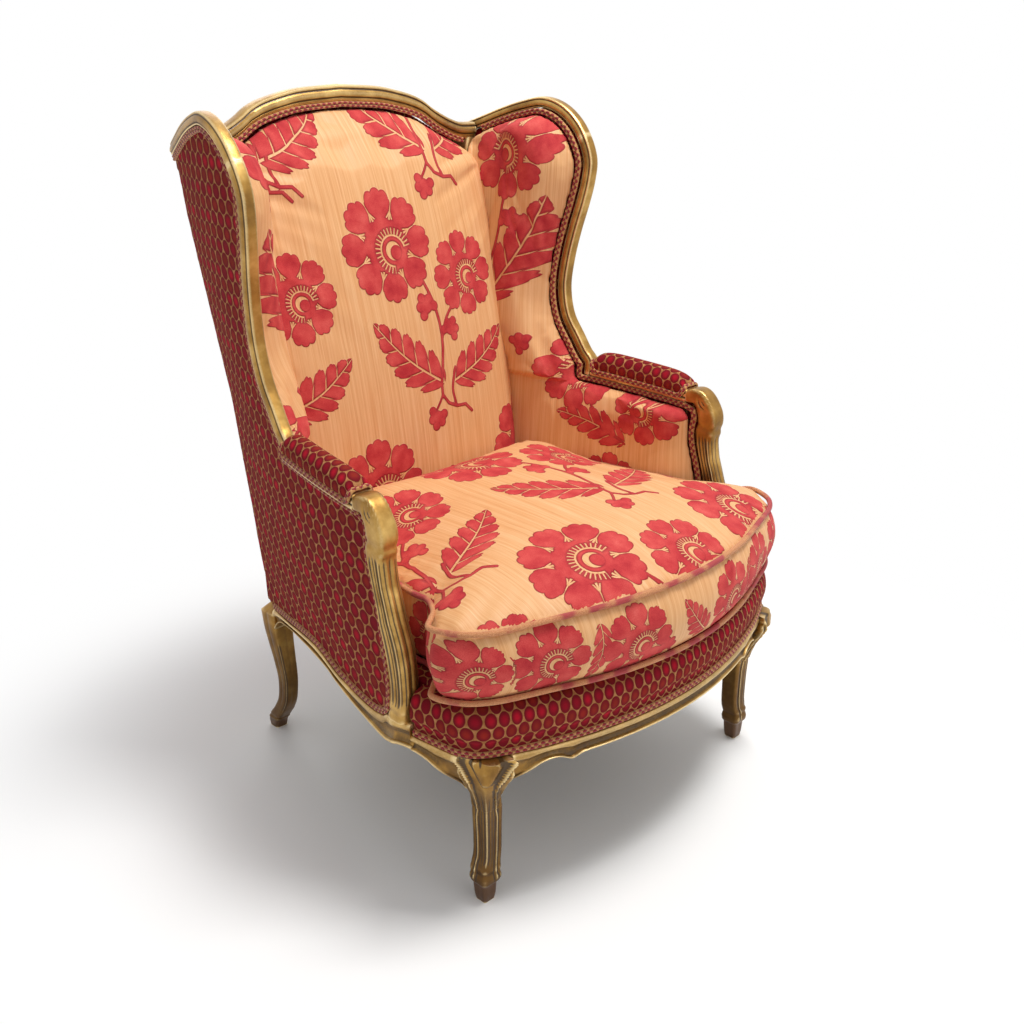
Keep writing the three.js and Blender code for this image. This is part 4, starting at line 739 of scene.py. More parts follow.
def make_wings():
    rings = along_side(WING_LINE, WING_SIZE, np.full(len(WING_LINE), WING_ACROSS), both_sides(CARVED),
                       [(0, (0, 1)), (-1, (1, 0))])
    # The top piece starts a hair's breadth past the end of the stile.
    split = round(WING_SPLIT * (len(rings) - 1))
    top = rings[split:].copy()
    top[0] += (top[1] - top[0]) * 0.05
    place_pair("gilt_wing_stile", rings[:split + 1], GILT, "gilded_wood", ["wing_stile"])
    place_pair("gilt_wing_top", top, GILT, "gilded_wood", ["wing_top_rail"])


def square_section(count, corner):
    """Angles round a square with rounded corners, and its points; a higher corner is sharper."""
    angle = np.linspace(0, 2 * math.pi, count, endpoint=False)
    c, s = np.cos(angle), np.sin(angle)
    reach = (np.abs(c) ** corner + np.abs(s) ** corner) ** (-1 / corner)
    return angle, c * reach, s * reach


VOLUTE_PITCH, VOLUTE_REACH, VOLUTE_DEPTH = 7.5, 21, 1.4


def make_posts():
    _, c, s = square_section(56, 5.0)
    line, t = POST_LINE, tangents(POST_LINE)
    t[0], t[-1] = (-1, 0), (0, -1)
    at = POST_AT[:, None] / 12
    # Flutes run down its front and both cheeks between two necks.
    flute = ease((at - 0.26) / 0.06) * ease((0.95 - at) / 0.05)
    groove = (0.5 + 0.5 * np.cos(2 * math.pi * 2.5 * np.clip(s, -1, 1)[None, :])) * (np.abs(c)[None, :] > 0.8)
    front = (0.5 + 0.5 * np.cos(2 * math.pi * 1.5 * np.clip(c, -1, 1))) * (s < -0.8)
    groove = groove + front[None, :]
    carve = 1 - 0.11 * flute * np.clip(groove, 0, 1)
    neck = swell(at, 0.235, 0.018) + swell(at, 0.965, 0.012)
    size = np.r_[ARM_THICK / 2, POST_SIZE[1:-1], POST_HALF][:, None]
    dx = c[None, :] * POST_HALF * carve * (1 - 0.09 * neck)
    n = s[None, :] * size * carve * (1 - 0.09 * neck)
    y, z = line[:, :1] - t[:, 1:] * n, line[:, 1:] + t[:, :1] * n
    # A carved volute on each cheek of the head.
    from_y, from_z = y - (ARM_LINE_Y + 6), z - (POST_HEAD_Z - 1)
    far = np.hypot(from_y, from_z)
    turn = np.arctan2(from_z, -from_y) / (2 * math.pi)
    coil = 0.5 + 0.5 * np.cos(2 * math.pi * (far / VOLUTE_PITCH - turn))
    cheek = (np.abs(c) > 0.85)[None, :] * ease((VOLUTE_REACH - far) / 5)
    dx = dx + np.sign(c)[None, :] * cheek * VOLUTE_DEPTH * (coil - 1)
    x = side_x(line[:, :1], line[:, 1:]) + dx
    place_pair("gilt_arm_post", np.stack([x, y, z], 2), GILT, "gilded_wood", ["arm_post"])


# Sections of the arm rail and, below, of the crest: across and up, in half thicknesses.
ARM_CARVED = [(.95, -1), (.98, -.6), (.9, -.45), (1, -.3), (1, .1), (.93, .22), (.93, .36), (1, .5), (1, .8),
              (.9, 1)]


def make_arm_rails():
    y = np.linspace(ARM_FRONT_Y, ARM_REAR_Y, 60)
    line = np.stack([y, arm_top_z(y) - ARM_THICK / 2], 1)[::-1]
    section = both_sides(ARM_CARVED)
    rings = along_side(line, np.full(len(line), ARM_THICK / 2), np.full(len(line), POST_HALF), section)
    place_pair("gilt_arm_rail", rings, GILT, "gilded_wood", ["arm_rail"])


# The rails' moulding from its lower edge: outwards as a share of how far it stands proud, and its height.
BEAD = [(.4, 0), (.66, 0), (.84, .04), (.95, .14), (.95, .24), (.82, .35), (.64, .4)]
TORUS = [(.62, .08), (.8, .12), (.97, .3), (1.02, .52), (.98, .74), (.84, .92), (.62, 1)]
HOLLOW = [(.5, .2), (.44, .45), (.5, .75)]
BEAD_MM, TORUS_MM = 17, 15


def rail_section(low, top, cover, inside, rail_top):
    tall = top - low
    bead, torus = min(BEAD_MM, tall * 0.42), min(TORUS_MM, tall * 0.42)
    face = [(o, low + up * bead) for o, up in BEAD]
    start = low + 0.4 * bead
    face += [(o, mix(start, top - torus, up)) for o, up in HOLLOW]
    face += [(o, top - torus + up * torus) for o, up in TORUS]
    face = [(o * MOULD_PROUD, z) for o, z in face]
    return [(inside, low)] + face + [(cover, top), (cover, rail_top), (inside, rail_top)]


def sweep_down(gap):
    """How far a rail's lower edge curves down, a gap before it meets a knee."""
    return KNEE_DROP * np.clip(1 - np.asarray(gap, float) / KNEE_SWEEP, 0, 1) ** 2.4


def make_side_rails():
    heel = float(np.interp(POST_FOOT_Z, POST_LINE[::-1, 1], POST_LINE[::-1, 0])) + POST_HALF + LOOSE
    toe = ARM_LINE_Y + POST_HALF / 2 - POST_SWEEP - POST_HALF - LOOSE
    rear = REAR_LEG_Y - JOINT
    depths = np.r_[np.linspace(rear, heel + JOINT, 90), np.linspace(heel, toe, 14),
                   np.linspace(toe - JOINT, SIDE_RAIL_FRONT_Y, 40), SIDE_RAIL_FRONT_Y - RAIL_HIDDEN]
    rings = []
    for y in depths:
        under = toe <= y <= heel
        top = POST_FOOT_Z - JOINT if under else float(side_mould_z(y))
        low = float(side_low_z(y) - sweep_down(y - SIDE_RAIL_FRONT_Y) - sweep_down((rear - y) * 1.3) * 0.6)
        section = rail_section(low, top, 0, -RAIL_INSIDE, top if under else RAIL_TOP_Z)
        rings.append([(float(side_x(y, RAIL_Z)) + out - tuck(z, y - SIDE_RAIL_FRONT_Y), y, z)
                      for out, z in section])
    place_pair("gilt_side_rail", rings, GILT, "gilded_wood", ["side_seat_rail"])


def tuck(z, gap):
    """How far the rail's swept-down end leans back towards the leg."""
    return KNEE_LEAN * float(ease((FRONT_LOW_Z - z) / 38) * np.clip(1 - gap / KNEE_SWEEP, 0, 1))


def front_low_z(x):
    cusp = CUSP_DROP * swell(np.abs(x), CUSP_X, 2 * CUSP_DROP)
    arch = max(0, abs(x) - CUSP_X) / (FRONT_CORNER_X - CUSP_X)
    return FRONT_LOW_Z - cusp + CUSP_DROP * math.sin(arch * math.pi)


def make_front_rail():
    rings = []
    for x in np.linspace(-FRONT_RAIL_END, FRONT_RAIL_END, 240):
        gap = FRONT_RAIL_END - abs(x)
        low = float(front_low_z(x) - sweep_down(gap))
        section = rail_section(low, FRONT_MOULD_Z, 0, MOULD_PROUD - FRONT_DEPTH, RAIL_TOP_Z)
        rings.append([(x, float(front_y(x)) - out + MOULD_PROUD + tuck(z, gap), z) for out, z in section])
    place_rings("gilt_front_rail", rings, GILT, "gilded_wood", ["front_seat_rail"])


def make_rear_rail():
    face = float(outer_back_y(RAIL_Z)) - BACK_PANEL - JOINT
    section = rail_section(REAR_LOW_Z, FRONT_MOULD_Z, 0, -RAIL_INSIDE, RAIL_TOP_Z)
    rings = []
    for share in np.linspace(-1, 1, 60):
        rings.append([(share * (float(side_x(face + out, z)) - STILE_IN - LOOSE), face + out, z)
                      for out, z in section])
    place_rings("gilt_rear_rail", rings, GILT, "gilded_wood", ["rear_seat_rail"])


# Its foot comes down to the welts, so that nothing shows between them.
CREST_CARVED = [(-.2, -1.22), (.5, -1.22), (.78, -1), (.86, -.7), (.8, -.56), (.98, -.4), (1.02, -.05),
                (.95, .28), (.8, .42), (.78, .5), (.85, .62), (.82, .82), (.66, .96), (.3, 1.02)]


def make_crest():
    section = np.array(both_sides(CREST_CARVED))
    crest = smooth_line(CREST, 120)
    rings = []
    for share in np.linspace(-1, 1, 240):
        x = share * CREST_REACH
        z = CROWN_Z - CREST_DROP * np.interp(abs(share), crest[:, 0], crest[:, 1]) - CREST_HALF
        y = float(crest_mid_y(x))
        ring = [(y + a * CREST_DEPTH, z + b * CREST_HALF) for a, b in section]
        limit = [float(side_x(py, pz)) - WING_ACROSS - LOOSE for py, pz in ring]
        rings.append([(float(np.clip(x, -m, m)), py, pz) for m, (py, pz) in zip(limit, ring)])
    place_rings("gilt_crest_rail", rings, GILT, "gilded_wood", ["crest_rail"])


def leg_rings(table, place_at, arris, kick_level):
    """Rings of a leg from its table, with reeds up its arris, a toe block and a collar."""
    heights = np.linspace(0, table[-1][0], 110)
    angle, c, s = square_section(64, 5.0)
    rings, wear = [], []
    fine = smooth_line(table, 300)
    for h in heights:
        out_x, out_y, half = (float(np.interp(h, fine[:, 0], fine[:, k])) for k in (1, 2, 3))
        x, y, z = place_at(out_x, out_y, h)
        size = half * LEG_HALF
        off = np.angle(np.exp(1j * (angle - arris)))
        reeded = swell(off, 0, 0.42) * ease((h - 0.16) / 0.06) * ease((kick_level - h) / 0.08)
        reed = 1 + reeded * (0.035 * np.cos(off * 26) - 0.02)
        side_hollow = 1 - 0.05 * swell(np.abs(off), 0.8, 0.16) * ease((h - 0.2) / 0.1)
        collar = 1 + 0.07 * swell(h, 0.085, 0.008) - 0.05 * swell(h, 0.105, 0.007)
        shape = reed * side_hollow * collar
        rings.append(np.stack([x + c * size * shape, y + s * size * shape, np.full(len(c), z)], 1))
        wear.append(np.full(len(c), float(ease((0.1 - h) / 0.05))))
    return rings, wear


KNEE_OUTLINE = [(293.9, -386), (341, -365), (356, -310), (309.7, -309.7), (293.9, -349)]
KNEE_SHARPNESS = 14


def knee_reach(angle, centre):
    """How far the knee's outline, seen from above, lies from a centre, at each angle round it."""
    share = np.zeros(len(angle))
    for (ax, ay), (bx, by) in zip(KNEE_OUTLINE, KNEE_OUTLINE[1:] + KNEE_OUTLINE[:1]):
        normal = np.array([ay - by, bx - ax]) / math.hypot(bx - ax, by - ay)
        far = normal @ (np.array([ax, ay]) - centre)
        if far < 0:
            normal, far = -normal, -far
        towards = (normal[0] * np.cos(angle) + normal[1] * np.sin(angle)) / far
        share = share + np.maximum(0, towards) ** KNEE_SHARPNESS
    return share ** (-1 / KNEE_SHARPNESS)


# The bead along the edge of the rails and the knee: millimetres in from the edge, and how full it stands.
EDGE_BEAD = [(0, .45), (2, .9), (4, 1), (6.5, .9), (8.5, .5), (10.5, .4), (15, .4), (22, .45)]
KNEE_FROM_Z, KNEE_GROWS, KNEE_SOFT = 146, 86, 5
FRONT_LEG_ROUND, BLOCK_HALF = 96, 15.5


def make_front_legs():
    foot_x, foot_y = FRONT_FOOT
    angle, c, s = square_section(FRONT_LEG_ROUND, 5.0)
    fine = smooth_line(FRONT_LEG, 300)
    rings, wear = [], []
    levels = np.unique(np.r_[np.linspace(0, 0.5, 70), np.linspace(0.5, 0.82, 110)])
    off = np.angle(np.exp(1j * (angle + math.pi / 4)))
    for h in levels:
        out_x, out_y, half = (float(np.interp(h, fine[:, 0], fine[:, k])) for k in (1, 2, 3))
        x, y, z = foot_x + out_x * KNEE_OUT[0], foot_y - out_y * KNEE_OUT[1], h * RAIL_TOP_Z
        size = half * FRONT_LEG_HALF
        grown = float(np.clip((z - KNEE_FROM_Z) / KNEE_GROWS, 0, 1) ** 2.1)
        reach = mix(size * np.hypot(c, s), knee_reach(angle, np.array([x, y])), grown)
        px, py = x + reach * np.cos(angle), y + reach * np.sin(angle)
        front = (px - x) < (y - py)
        beside = np.where(front, px - px.min(), py.max() - py)
        rise = z - (FRONT_LOW_Z - KNEE_DROP) - 4
        # How far in from the knee's side or its lower edge, with the corner between them rounded.
        q = KNEE_SOFT * np.log(np.exp(beside / KNEE_SOFT) + np.exp(np.clip(rise, -60, 60) / KNEE_SOFT))
        outer = (np.abs(off) < math.pi * 0.47) * ease((h - 0.1) / 0.06)
        deep = mix(4.0, 13.0, grown)
        low_line = read(EDGE_BEAD, q)
        turned = mix(54, 25, ease(beside / 30))
        torus = swell(q, mix(13, turned, grown ** 0.6), mix(2.4, 5.5, grown))
        reeds = swell(off, 0, 0.45) * (1 - grown) * ease((h - 0.18) / 0.06)
        # The face is carved back behind the edge's bead and the torus that turns down beside the shield.
        sink = outer * deep * (1 - np.maximum(low_line, torus)) * (1 - reeds)
        sink = sink + reeds * (0.9 - 0.9 * np.cos(off * 18))
        sink = sink + outer * 10 * float(ease((z - 247) / 15)) * swell(off, 0, 0.5)
        # Ankle and foot: a collar over a groove, knobs on both cheeks, and a toe drawn in.
        collar = 0.8 * swell(h, 0.135, 0.01) - 1.4 * swell(h, 0.165, 0.01)
        knobs = 3.2 * swell(np.abs(off), 1.25, 0.25) * swell(h, 0.15, 0.025)
        toe = -3.2 * float(ease((0.115 - h) / 0.02))
        px, py = (mid + (reach - sink + collar + knobs + toe) * way
                  for mid, way in ((x, np.cos(angle)), (y, np.sin(angle))))
        rings.append(np.stack([px, py, np.full(len(px), z)], 1))
        wear.append(np.full(len(px), float(ease((0.125 - h) / 0.02))))
    rings = carve_shield(np.array(rings))
    _, c, s = square_section(FRONT_LEG_ROUND, 8.0)
    block_x, block_y = FRONT_RAIL_END + JOINT + BLOCK_HALF, SIDE_RAIL_FRONT_Y - JOINT - BLOCK_HALF
    blocks = [np.stack([block_x + c * BLOCK_HALF, block_y + s * BLOCK_HALF, np.full(FRONT_LEG_ROUND, z)], 1)
              for z in (FRONT_MOULD_Z + JOINT, RAIL_TOP_Z)]
    wear += [np.zeros(FRONT_LEG_ROUND)] * 2
    place_pair("gilt_front_leg", np.vstack([rings, blocks]), GILT, "gilded_wood", ["front_leg"],
               fields={"wear": np.concatenate(wear)})


# The shield on the knee: which way it faces, its middle, and its half width, height above and length below.
SHIELD_WAY, SHIELD_MIDDLE = (.77, -.64), (341, -365, 254)
SHIELD_HALF, SHIELD_ABOVE, SHIELD_BELOW, SHIELD_SET_IN = 19, 9, 34, 23


def carve_shield(rings):
    """A plain convex shield with a raised rim on the corner of the knee, pointed below."""
    way, side = np.array(SHIELD_WAY), np.array([-SHIELD_WAY[1], SHIELD_WAY[0]])
    middle = np.array(SHIELD_MIDDLE)
    u = (rings[:, :, :2] - middle[:2]) @ side
    facing = (rings[:, :, :2] - middle[:2] + (SHIELD_SET_IN, -SHIELD_SET_IN)) @ way > 0
    v = rings[:, :, 2] - middle[2]
    width = SHIELD_HALF * np.clip(1 - np.clip(-v, 0, 40) / SHIELD_BELOW, 0.02, 1) ** 0.8
    tall = np.where(v > 0, SHIELD_ABOVE, SHIELD_BELOW)
    far = np.sqrt((u / width) ** 2 + (np.clip(v, 0, 99) / tall) ** 4)
    rim = swell(far, 0.95, 0.12)
    dome = np.clip(1 - (far / 0.9) ** 2, 0, 1) ** 0.6
    fill = ease((1.25 - far) / 0.3)
    live = facing * ease((v + SHIELD_BELOW) / 10)
    lift = live * (6.5 * fill + 0.6 * rim + 2.2 * dome)
    rings[:, :, 0] += way[0] * lift
    rings[:, :, 1] += way[1] * lift
    return rings


def make_rear_legs():
    foot_x, foot_y = REAR_FOOT
    knee_x = float(side_x(REAR_LEG_Y, RAIL_Z)) + MOULD_PROUD - REAR_KNEE_HALF
    ankle = foot_y - REAR_KICK

    def at(out_x, kick, h):
        return mix(foot_x, knee_x, out_x), ankle + kick * REAR_KICK, h * REAR_KNEE_Z

    rings, wear = leg_rings(REAR_LEG, at, -math.pi / 4, 0.8)
    _, c, s = square_section(64, 6.0)
    top = CORNER_Z - WING_HALF
    low, high = FRONT_MOULD_Z + JOINT, top - STILE_DEPTH
    stile = []
    for z in [*np.linspace(low, high, 40), top]:
        y = float(stile_front_y(min(z, high))) + STILE_DEPTH / 2
        px = c * STILE_IN / 2 - STILE_IN / 2
        py = y + s * STILE_DEPTH / 2
        pz = np.full(64, z)
        if z == top:
            pz = np.minimum(np.interp(py, WOOD_EDGE[WOOD_PEAK:, 0], WOOD_EDGE[WOOD_PEAK:, 1]),
                            float(crest_under_z(CREST_REACH)))
        stile.append(np.stack([side_x(py, pz) + px, py, pz], 1))
        wear.append(np.zeros(64))
    place_pair("gilt_rear_leg", np.vstack([rings, stile]), GILT, "gilded_wood", ["rear_leg"],
               fields={"wear": np.concatenate(wear)})


# Double welts

def welt_section(tall, half=GIMP_HALF):
    """Two ribs side by side: place across, height above the panel."""
    across = np.linspace(-half, half, 17)
    rib = np.sqrt(np.clip(1 - ((np.abs(across) - half / 2) / (half / 2)) ** 2, 0, 1))
    return [(-half, 0)] + [(a, 0.45 * tall + 0.6 * tall * r) for a, r in zip(across, rib)] + [(half, 0)]


def place_welt(name, rings, section, node, pair, loop=False):
    rings = np.array(rings)
    middle = rings.mean(axis=1)
    run = np.r_[0, np.cumsum(np.linalg.norm(np.diff(middle, axis=0), axis=1))]
    across = np.array([a for a, _ in section])
    flat = {"cloth": cloth_field(run[:, None], across[None, :])}
    if pair:
        place_pair(name, rings, BRAID, "dotted_fabric", [node], fields=flat, loop=loop)
    else:
        place_rings(name, rings, BRAID, "dotted_fabric", [node], fields=flat, loop=loop)


# How tall the welts stand outside and on the crest, and inside, where they lie partly sunk in the padding.
OUTER_WELT, CREST_WELT, INNER_WELT, INNER_SUNK = 4, 5, 7, 0.35


def side_welt(path, near, tall, way):
    t = tangents(path)
    section = welt_section(tall)
    rings = []
    for (y, z), (ty, tz) in zip(path, t):
        ring = [(y + tz * a, z - ty * a, up) for a, up in section]
        rings.append([(float(side_x(py, pz)) + near + way * up, py, pz) for py, pz, up in ring])
    return rings, section


def make_side_welts():
    path = moved(WOOD_EDGE, GIMP_WIDTH / 2)
    index = np.arange(len(path))

    def above(z):
        return path[(path[:, 1] > z + GIMP_WIDTH) | (index > WOOD_PEAK)]

    heel = float(np.interp(POST_FOOT_Z, POST_LINE[::-1, 1], POST_LINE[::-1, 0])) + POST_HALF + LOOSE
    y = np.linspace(REAR_LEG_Y - JOINT, heel + 12, 90)
    bottom = np.stack([y, side_mould_z(y) + GIMP_WIDTH / 2 + GIMP_CLEAR], 1)
    outer = respace(np.vstack([bottom, above(POST_FOOT_Z)]), 560)
    rings, section = side_welt(outer, PANEL_OUT + JOINT, OUTER_WELT, 1)
    place_welt("welt_outer_side", rings, section, "outer_side_gimp", True)
    crest_front = float(crest_mid_y(CREST_REACH)) - CREST_DEPTH - GIMP_WIDTH
    inner = above(DECK_Z)
    inner = respace(inner[inner[:, 0] < crest_front], 460)
    rings, section = side_welt(inner, -PAD_OUTER - INNER_WELT * INNER_SUNK, INNER_WELT * (1 - INNER_SUNK), -1)
    place_welt("welt_inner_side", rings, section, "inner_side_gimp", True)


def make_crest_welts():
    reach = CREST_REACH - WING_ACROSS - POST_HALF - 2 * LOOSE
    x = np.linspace(-reach, reach, 260)
    crest = smooth_line(CREST, 120)
    middle = (CROWN_Z - CREST_DROP * np.interp(np.abs(x) / CREST_REACH, crest[:, 0], crest[:, 1])
              - 2 * CREST_HALF - 2 * GIMP_CLEAR - GIMP_HALF)
    path = np.stack([x, middle], 1)
    t = tangents(path)
    for name, node, way, tall in (("welt_crest", "crest_gimp", -1, CREST_WELT),
                                  ("welt_outer_back", "outer_back_gimp", 1, OUTER_WELT)):
        section = welt_section(tall)
        rings = []
        for (px, pz), (tx, tz) in zip(path, t):
            face = crest_mid_y(px) - CREST_DEPTH + 4 if way < 0 else outer_back_y(pz) + JOINT
            rings.append([(px - tz * a, float(face) + way * up, pz + tx * a) for a, up in section])
        place_welt(name, rings, section, node, False)


def band_line(count=320):
    corner_y = float(front_y(FRONT_CORNER_X)) + MOULD_PROUD
    toe = ARM_LINE_Y + POST_HALF / 2 - POST_SWEEP - POST_HALF - LOOSE
    rear_y = toe - JOINT
    knee_y = mix(corner_y, rear_y, 0.25)
    half = [(float(side_x(mix(rear_y, knee_y, s), RAIL_Z)), mix(rear_y, knee_y, s)) for s in (0, .4, .75, 1)]
    half.append((float(side_x(corner_y, RAIL_Z)) - CORNER_PULL, corner_y + CORNER_PULL))
    half += [(s * FRONT_CORNER_X, float(front_y(s * FRONT_CORNER_X)) + MOULD_PROUD)
             for s in (.88, .7, .5, .25, 0)]
    return smooth_line(half + [(-x, y) for x, y in reversed(half[:-1])], count)


def band_foot_z(y):
    corner_y = float(front_y(FRONT_CORNER_X)) + MOULD_PROUD
    beside = side_mould_z(y) if y > corner_y else 0
    return max(FRONT_MOULD_Z, float(beside)) + JOINT


def along_band(section_at):
    line = band_line()
    t = tangents(line)
    return [[(x - ty * out, y + tx * out, z) for out, z in section_at(y)]
            for (x, y), (tx, ty) in zip(line, t)]


# The border's swell: a share of the way up it, and how far it is stuffed out.
BORDER_ACROSS, BORDER_UP = 1.1, 0.92
BORDER_FACE = [(0, 0), (.14, 0), (.24, .55), (.46, 1), (.68, .8), (.86, .25), (.97, -.7)]


def make_front_border():
    face = smooth_line(BORDER_FACE, 22)

    def section(y):
        foot = band_foot_z(y)
        start = min(foot + GIMP_WIDTH + JOINT, RAIL_TOP_Z)
        swell = [(BORDER_BASE + s * BORDER_SWELL, mix(start, BORDER_Z, up)) for up, s in face]
        return ([(PANEL_IN, foot), (BORDER_BASE, foot)] + swell
                + [(-BORDER_LEDGE, BORDER_Z), (-BORDER_LEDGE, RAIL_TOP_Z + JOINT),
                   (PANEL_IN, RAIL_TOP_Z + JOINT)])

    rings = np.array(along_band(section))
    line = band_line()
    run = np.r_[0, np.cumsum(np.linalg.norm(np.diff(line, axis=0), axis=1))]
    run -= run[-1] / 2
    u = np.broadcast_to(run[:, None], rings.shape[:2])
    up = np.cumsum(np.linalg.norm(np.diff(rings, axis=1, prepend=rings[:, :1]), axis=2),
                   axis=1) + FRONT_MOULD_Z
    border = place_rings("front_border_cloth", rings, DOTS, "dotted_fabric", ["front_border"],
                         fields={"cloth": cloth_field(u * BORDER_ACROSS, up * BORDER_UP)})
    section = welt_section(OUTER_WELT)
    welt = along_band(lambda y: [(BORDER_BASE + JOINT + up, band_foot_z(y) + GIMP_WIDTH / 2 + a)
                                 for a, up in section])
    place_welt("welt_front", welt, section, "front_gimp", False)


# Stuffed pieces: taken from the frame's own shape, evened out, filled as cloth, then given the cloth's lie.

def settled(piece):
    graph = bpy.context.evaluated_depsgraph_get()
    mesh = bpy.data.meshes.new_from_object(piece.evaluated_get(graph))
    piece.modifiers.clear()
    piece.data = mesh
    return mesh


def points_of(mesh):
    flat = np.empty(len(mesh.vertices) * 3, np.float32)
    mesh.vertices.foreach_get("co", flat)
    return flat.reshape(-1, 3).astype(float) * MM_IN_METRE - (0, SEAT_MIDDLE_Y, 0)


def normals_of(mesh):
    flat = np.empty(len(mesh.vertices) * 3, np.float32)
    mesh.vertices.foreach_get("normal", flat)
    return flat.reshape(-1, 3).astype(float)


def put_points(mesh, points):
    metres = (points + (0, SEAT_MIDDLE_Y, 0)) / MM_IN_METRE
    mesh.vertices.foreach_set("co", metres.astype(np.float32).ravel())
    mesh.update()


FILLING_STEPS, FILLING_PRESSURE = 20, 4


def stuffed(name, node, voxel, smoothing, held=None, most=0, finer=1, shaped=None):
    """A node's shape as a filled cloth: held(points, normals) tells where it is nailed or seamed, and shaped
    gives the padding's own form before it is filled."""
    blank = bpy.data.objects.new(name, bpy.data.objects[node].data.copy())
    scene.collection.objects.link(blank)
    even = blank.modifiers.new("even", "REMESH")
    even.mode, even.voxel_size = "VOXEL", voxel / MM_IN_METRE
    soften = blank.modifiers.new("soften", "SMOOTH")
    soften.factor, soften.iterations = 0.5, smoothing
    mesh = settled(blank)
    if shaped:
        put_points(mesh, shaped(points_of(mesh)))
    if held:
        before = points_of(mesh)
        fixed = held(before, normals_of(mesh))
        group = blank.vertex_groups.new(name="held")
        group.add([int(i) for i in np.nonzero(fixed)[0]], 1, "REPLACE")
        cloth = blank.modifiers.new("filling", "CLOTH")
        rule = cloth.settings
        rule.use_pressure, rule.uniform_pressure_force = True, FILLING_PRESSURE
        rule.vertex_group_mass = "held"
        rule.effector_weights.gravity = 0
        cloth.collision_settings.use_self_collision = False
        cloth.point_cache.frame_start, cloth.point_cache.frame_end = 1, FILLING_STEPS
        for moment in range(1, FILLING_STEPS + 1):
            scene.frame_set(moment)
        mesh = settled(blank)
        blank.vertex_groups.clear()
        move = points_of(mesh) - before
        far = np.linalg.norm(move, axis=1)[:, None]
        put_points(mesh, before + move * np.minimum(1, most / np.maximum(far, 1e-6)))
        scene.frame_set(1)
    if finer:
        blank.modifiers.new("finer", "SUBSURF").levels = finer
        mesh = settled(blank)
    return blank, mesh


def dress(piece, mesh, material, node, fields, body="frame"):
    give_fields(mesh, fields)
    mesh.materials.clear()
    mesh.materials.append(material)
    mesh.shade_smooth()
    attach(piece, body)
    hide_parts(node)
    return piece


def mirror_of(piece, name):
    mesh = piece.data.copy()
    twin = bpy.data.objects.new(name, mesh)
    scene.collection.objects.link(twin)
    points = points_of(mesh)
    put_points(mesh, points * (-1, 1, 1))
    mesh.flip_normals()
    return twin, mesh


# The velvet's sprig. Each point of a piece is told its place in the nearest flower and in the nearest left
# and right leaves, and how far inside a stalk or bud it lies; the material draws the rest.

def in_flower(u, v, centre, size):
    x, y = (u - centre[0]) / size * 2, (v - centre[1]) / size * 2
    return np.stack([x, y], -1), np.hypot(x, y) < 1.03


def in_leaf(u, v, tip, base, width):
    tip, base = np.array(tip, float), np.array(base, float)
    axis = tip - base
    length = np.linalg.norm(axis)
    axis = axis / length
    du, dv = u - base[0], v - base[1]
    t = (du * axis[0] + dv * axis[1]) / length
    a = (dv * axis[0] - du * axis[1]) / width * 2 - 0.26 * np.sin(math.pi * np.clip(t, 0, 1))
    return np.stack([t, a], -1), (t > -0.06) & (t < 1.06) & (np.abs(a) < 1.2)


def nearest(fields, drawings):
    """One vector per point: its place in the drawing it lies in, and 1, or 0 where it lies in none."""
    out = np.full(fields + (3,), 9.0)
    out[..., 2] = 0
    for place_in, here in drawings:
        out[here, :2] = place_in[here]
        out[here, 2] = 1
    return out


def bud(u, v, centre, size, turn):
    """A small leaf of five round lobes."""
    best = np.full(np.shape(u), -99.0)
    for k in range(5):
        a = turn + math.pi / 2 + (k - 2) * 1.05
        reach = size * (0.3 if k % 2 else 0.36)
        best = np.maximum(best, size * 0.2
                          - np.hypot(u - centre[0] - reach * math.cos(a),
                                     v - centre[1] - reach * math.sin(a)))
    return np.maximum(best, size * 0.27 - np.hypot(u - centre[0], v - centre[1]))


def stalk(u, v, points, width):
    line = smooth_line(points, 14)
    best = np.full(np.shape(u), 1e9)
    for (au, av), (bu, bv) in zip(line[:-1], line[1:]):
        eu, ev = bu - au, bv - av
        t = np.clip(((u - au) * eu + (v - av) * ev) / (eu * eu + ev * ev + 1e-9), 0, 1)
        best = np.minimum(best, np.hypot(u - au - t * eu, v - av - t * ev))
    return width / 2 - best


# A flower has its middle and width; a leaf its tip, its base and its width; a bud its middle, size and turn;
# a stalk its points and width. All are in millimetres on the cloth.
SPRIG = {
    "flowers": [((-7, 860), 187), ((154, 796), 146)],
    "left": [((-68, 741), (67, 618), 82)],
    "right": [((232, 692), (90, 617), -76)],
    "buds": [((52, 752), 46, 0.5), ((99, 707), 42, -0.6), ((41, 561), 44, 2.8)],
    "stalks": [([(52, 800), (68, 760), (76, 700), (66, 640), (58, 600), (80, 574), (112, 570), (124, 556)],
                6.5),
               ([(118, 752), (92, 726), (76, 694)], 6), ([(96, 640), (84, 604), (88, 574)], 6),
               ([(41, 575), (52, 588), (60, 600)], 5)],
}
REPEATS = [(0, 0), (62, 388), (-273, 395), (-90, -402), (273, -390), (353, 0), (-353, 0), (-291, 388),
           (415, 388), (-443, -402)]


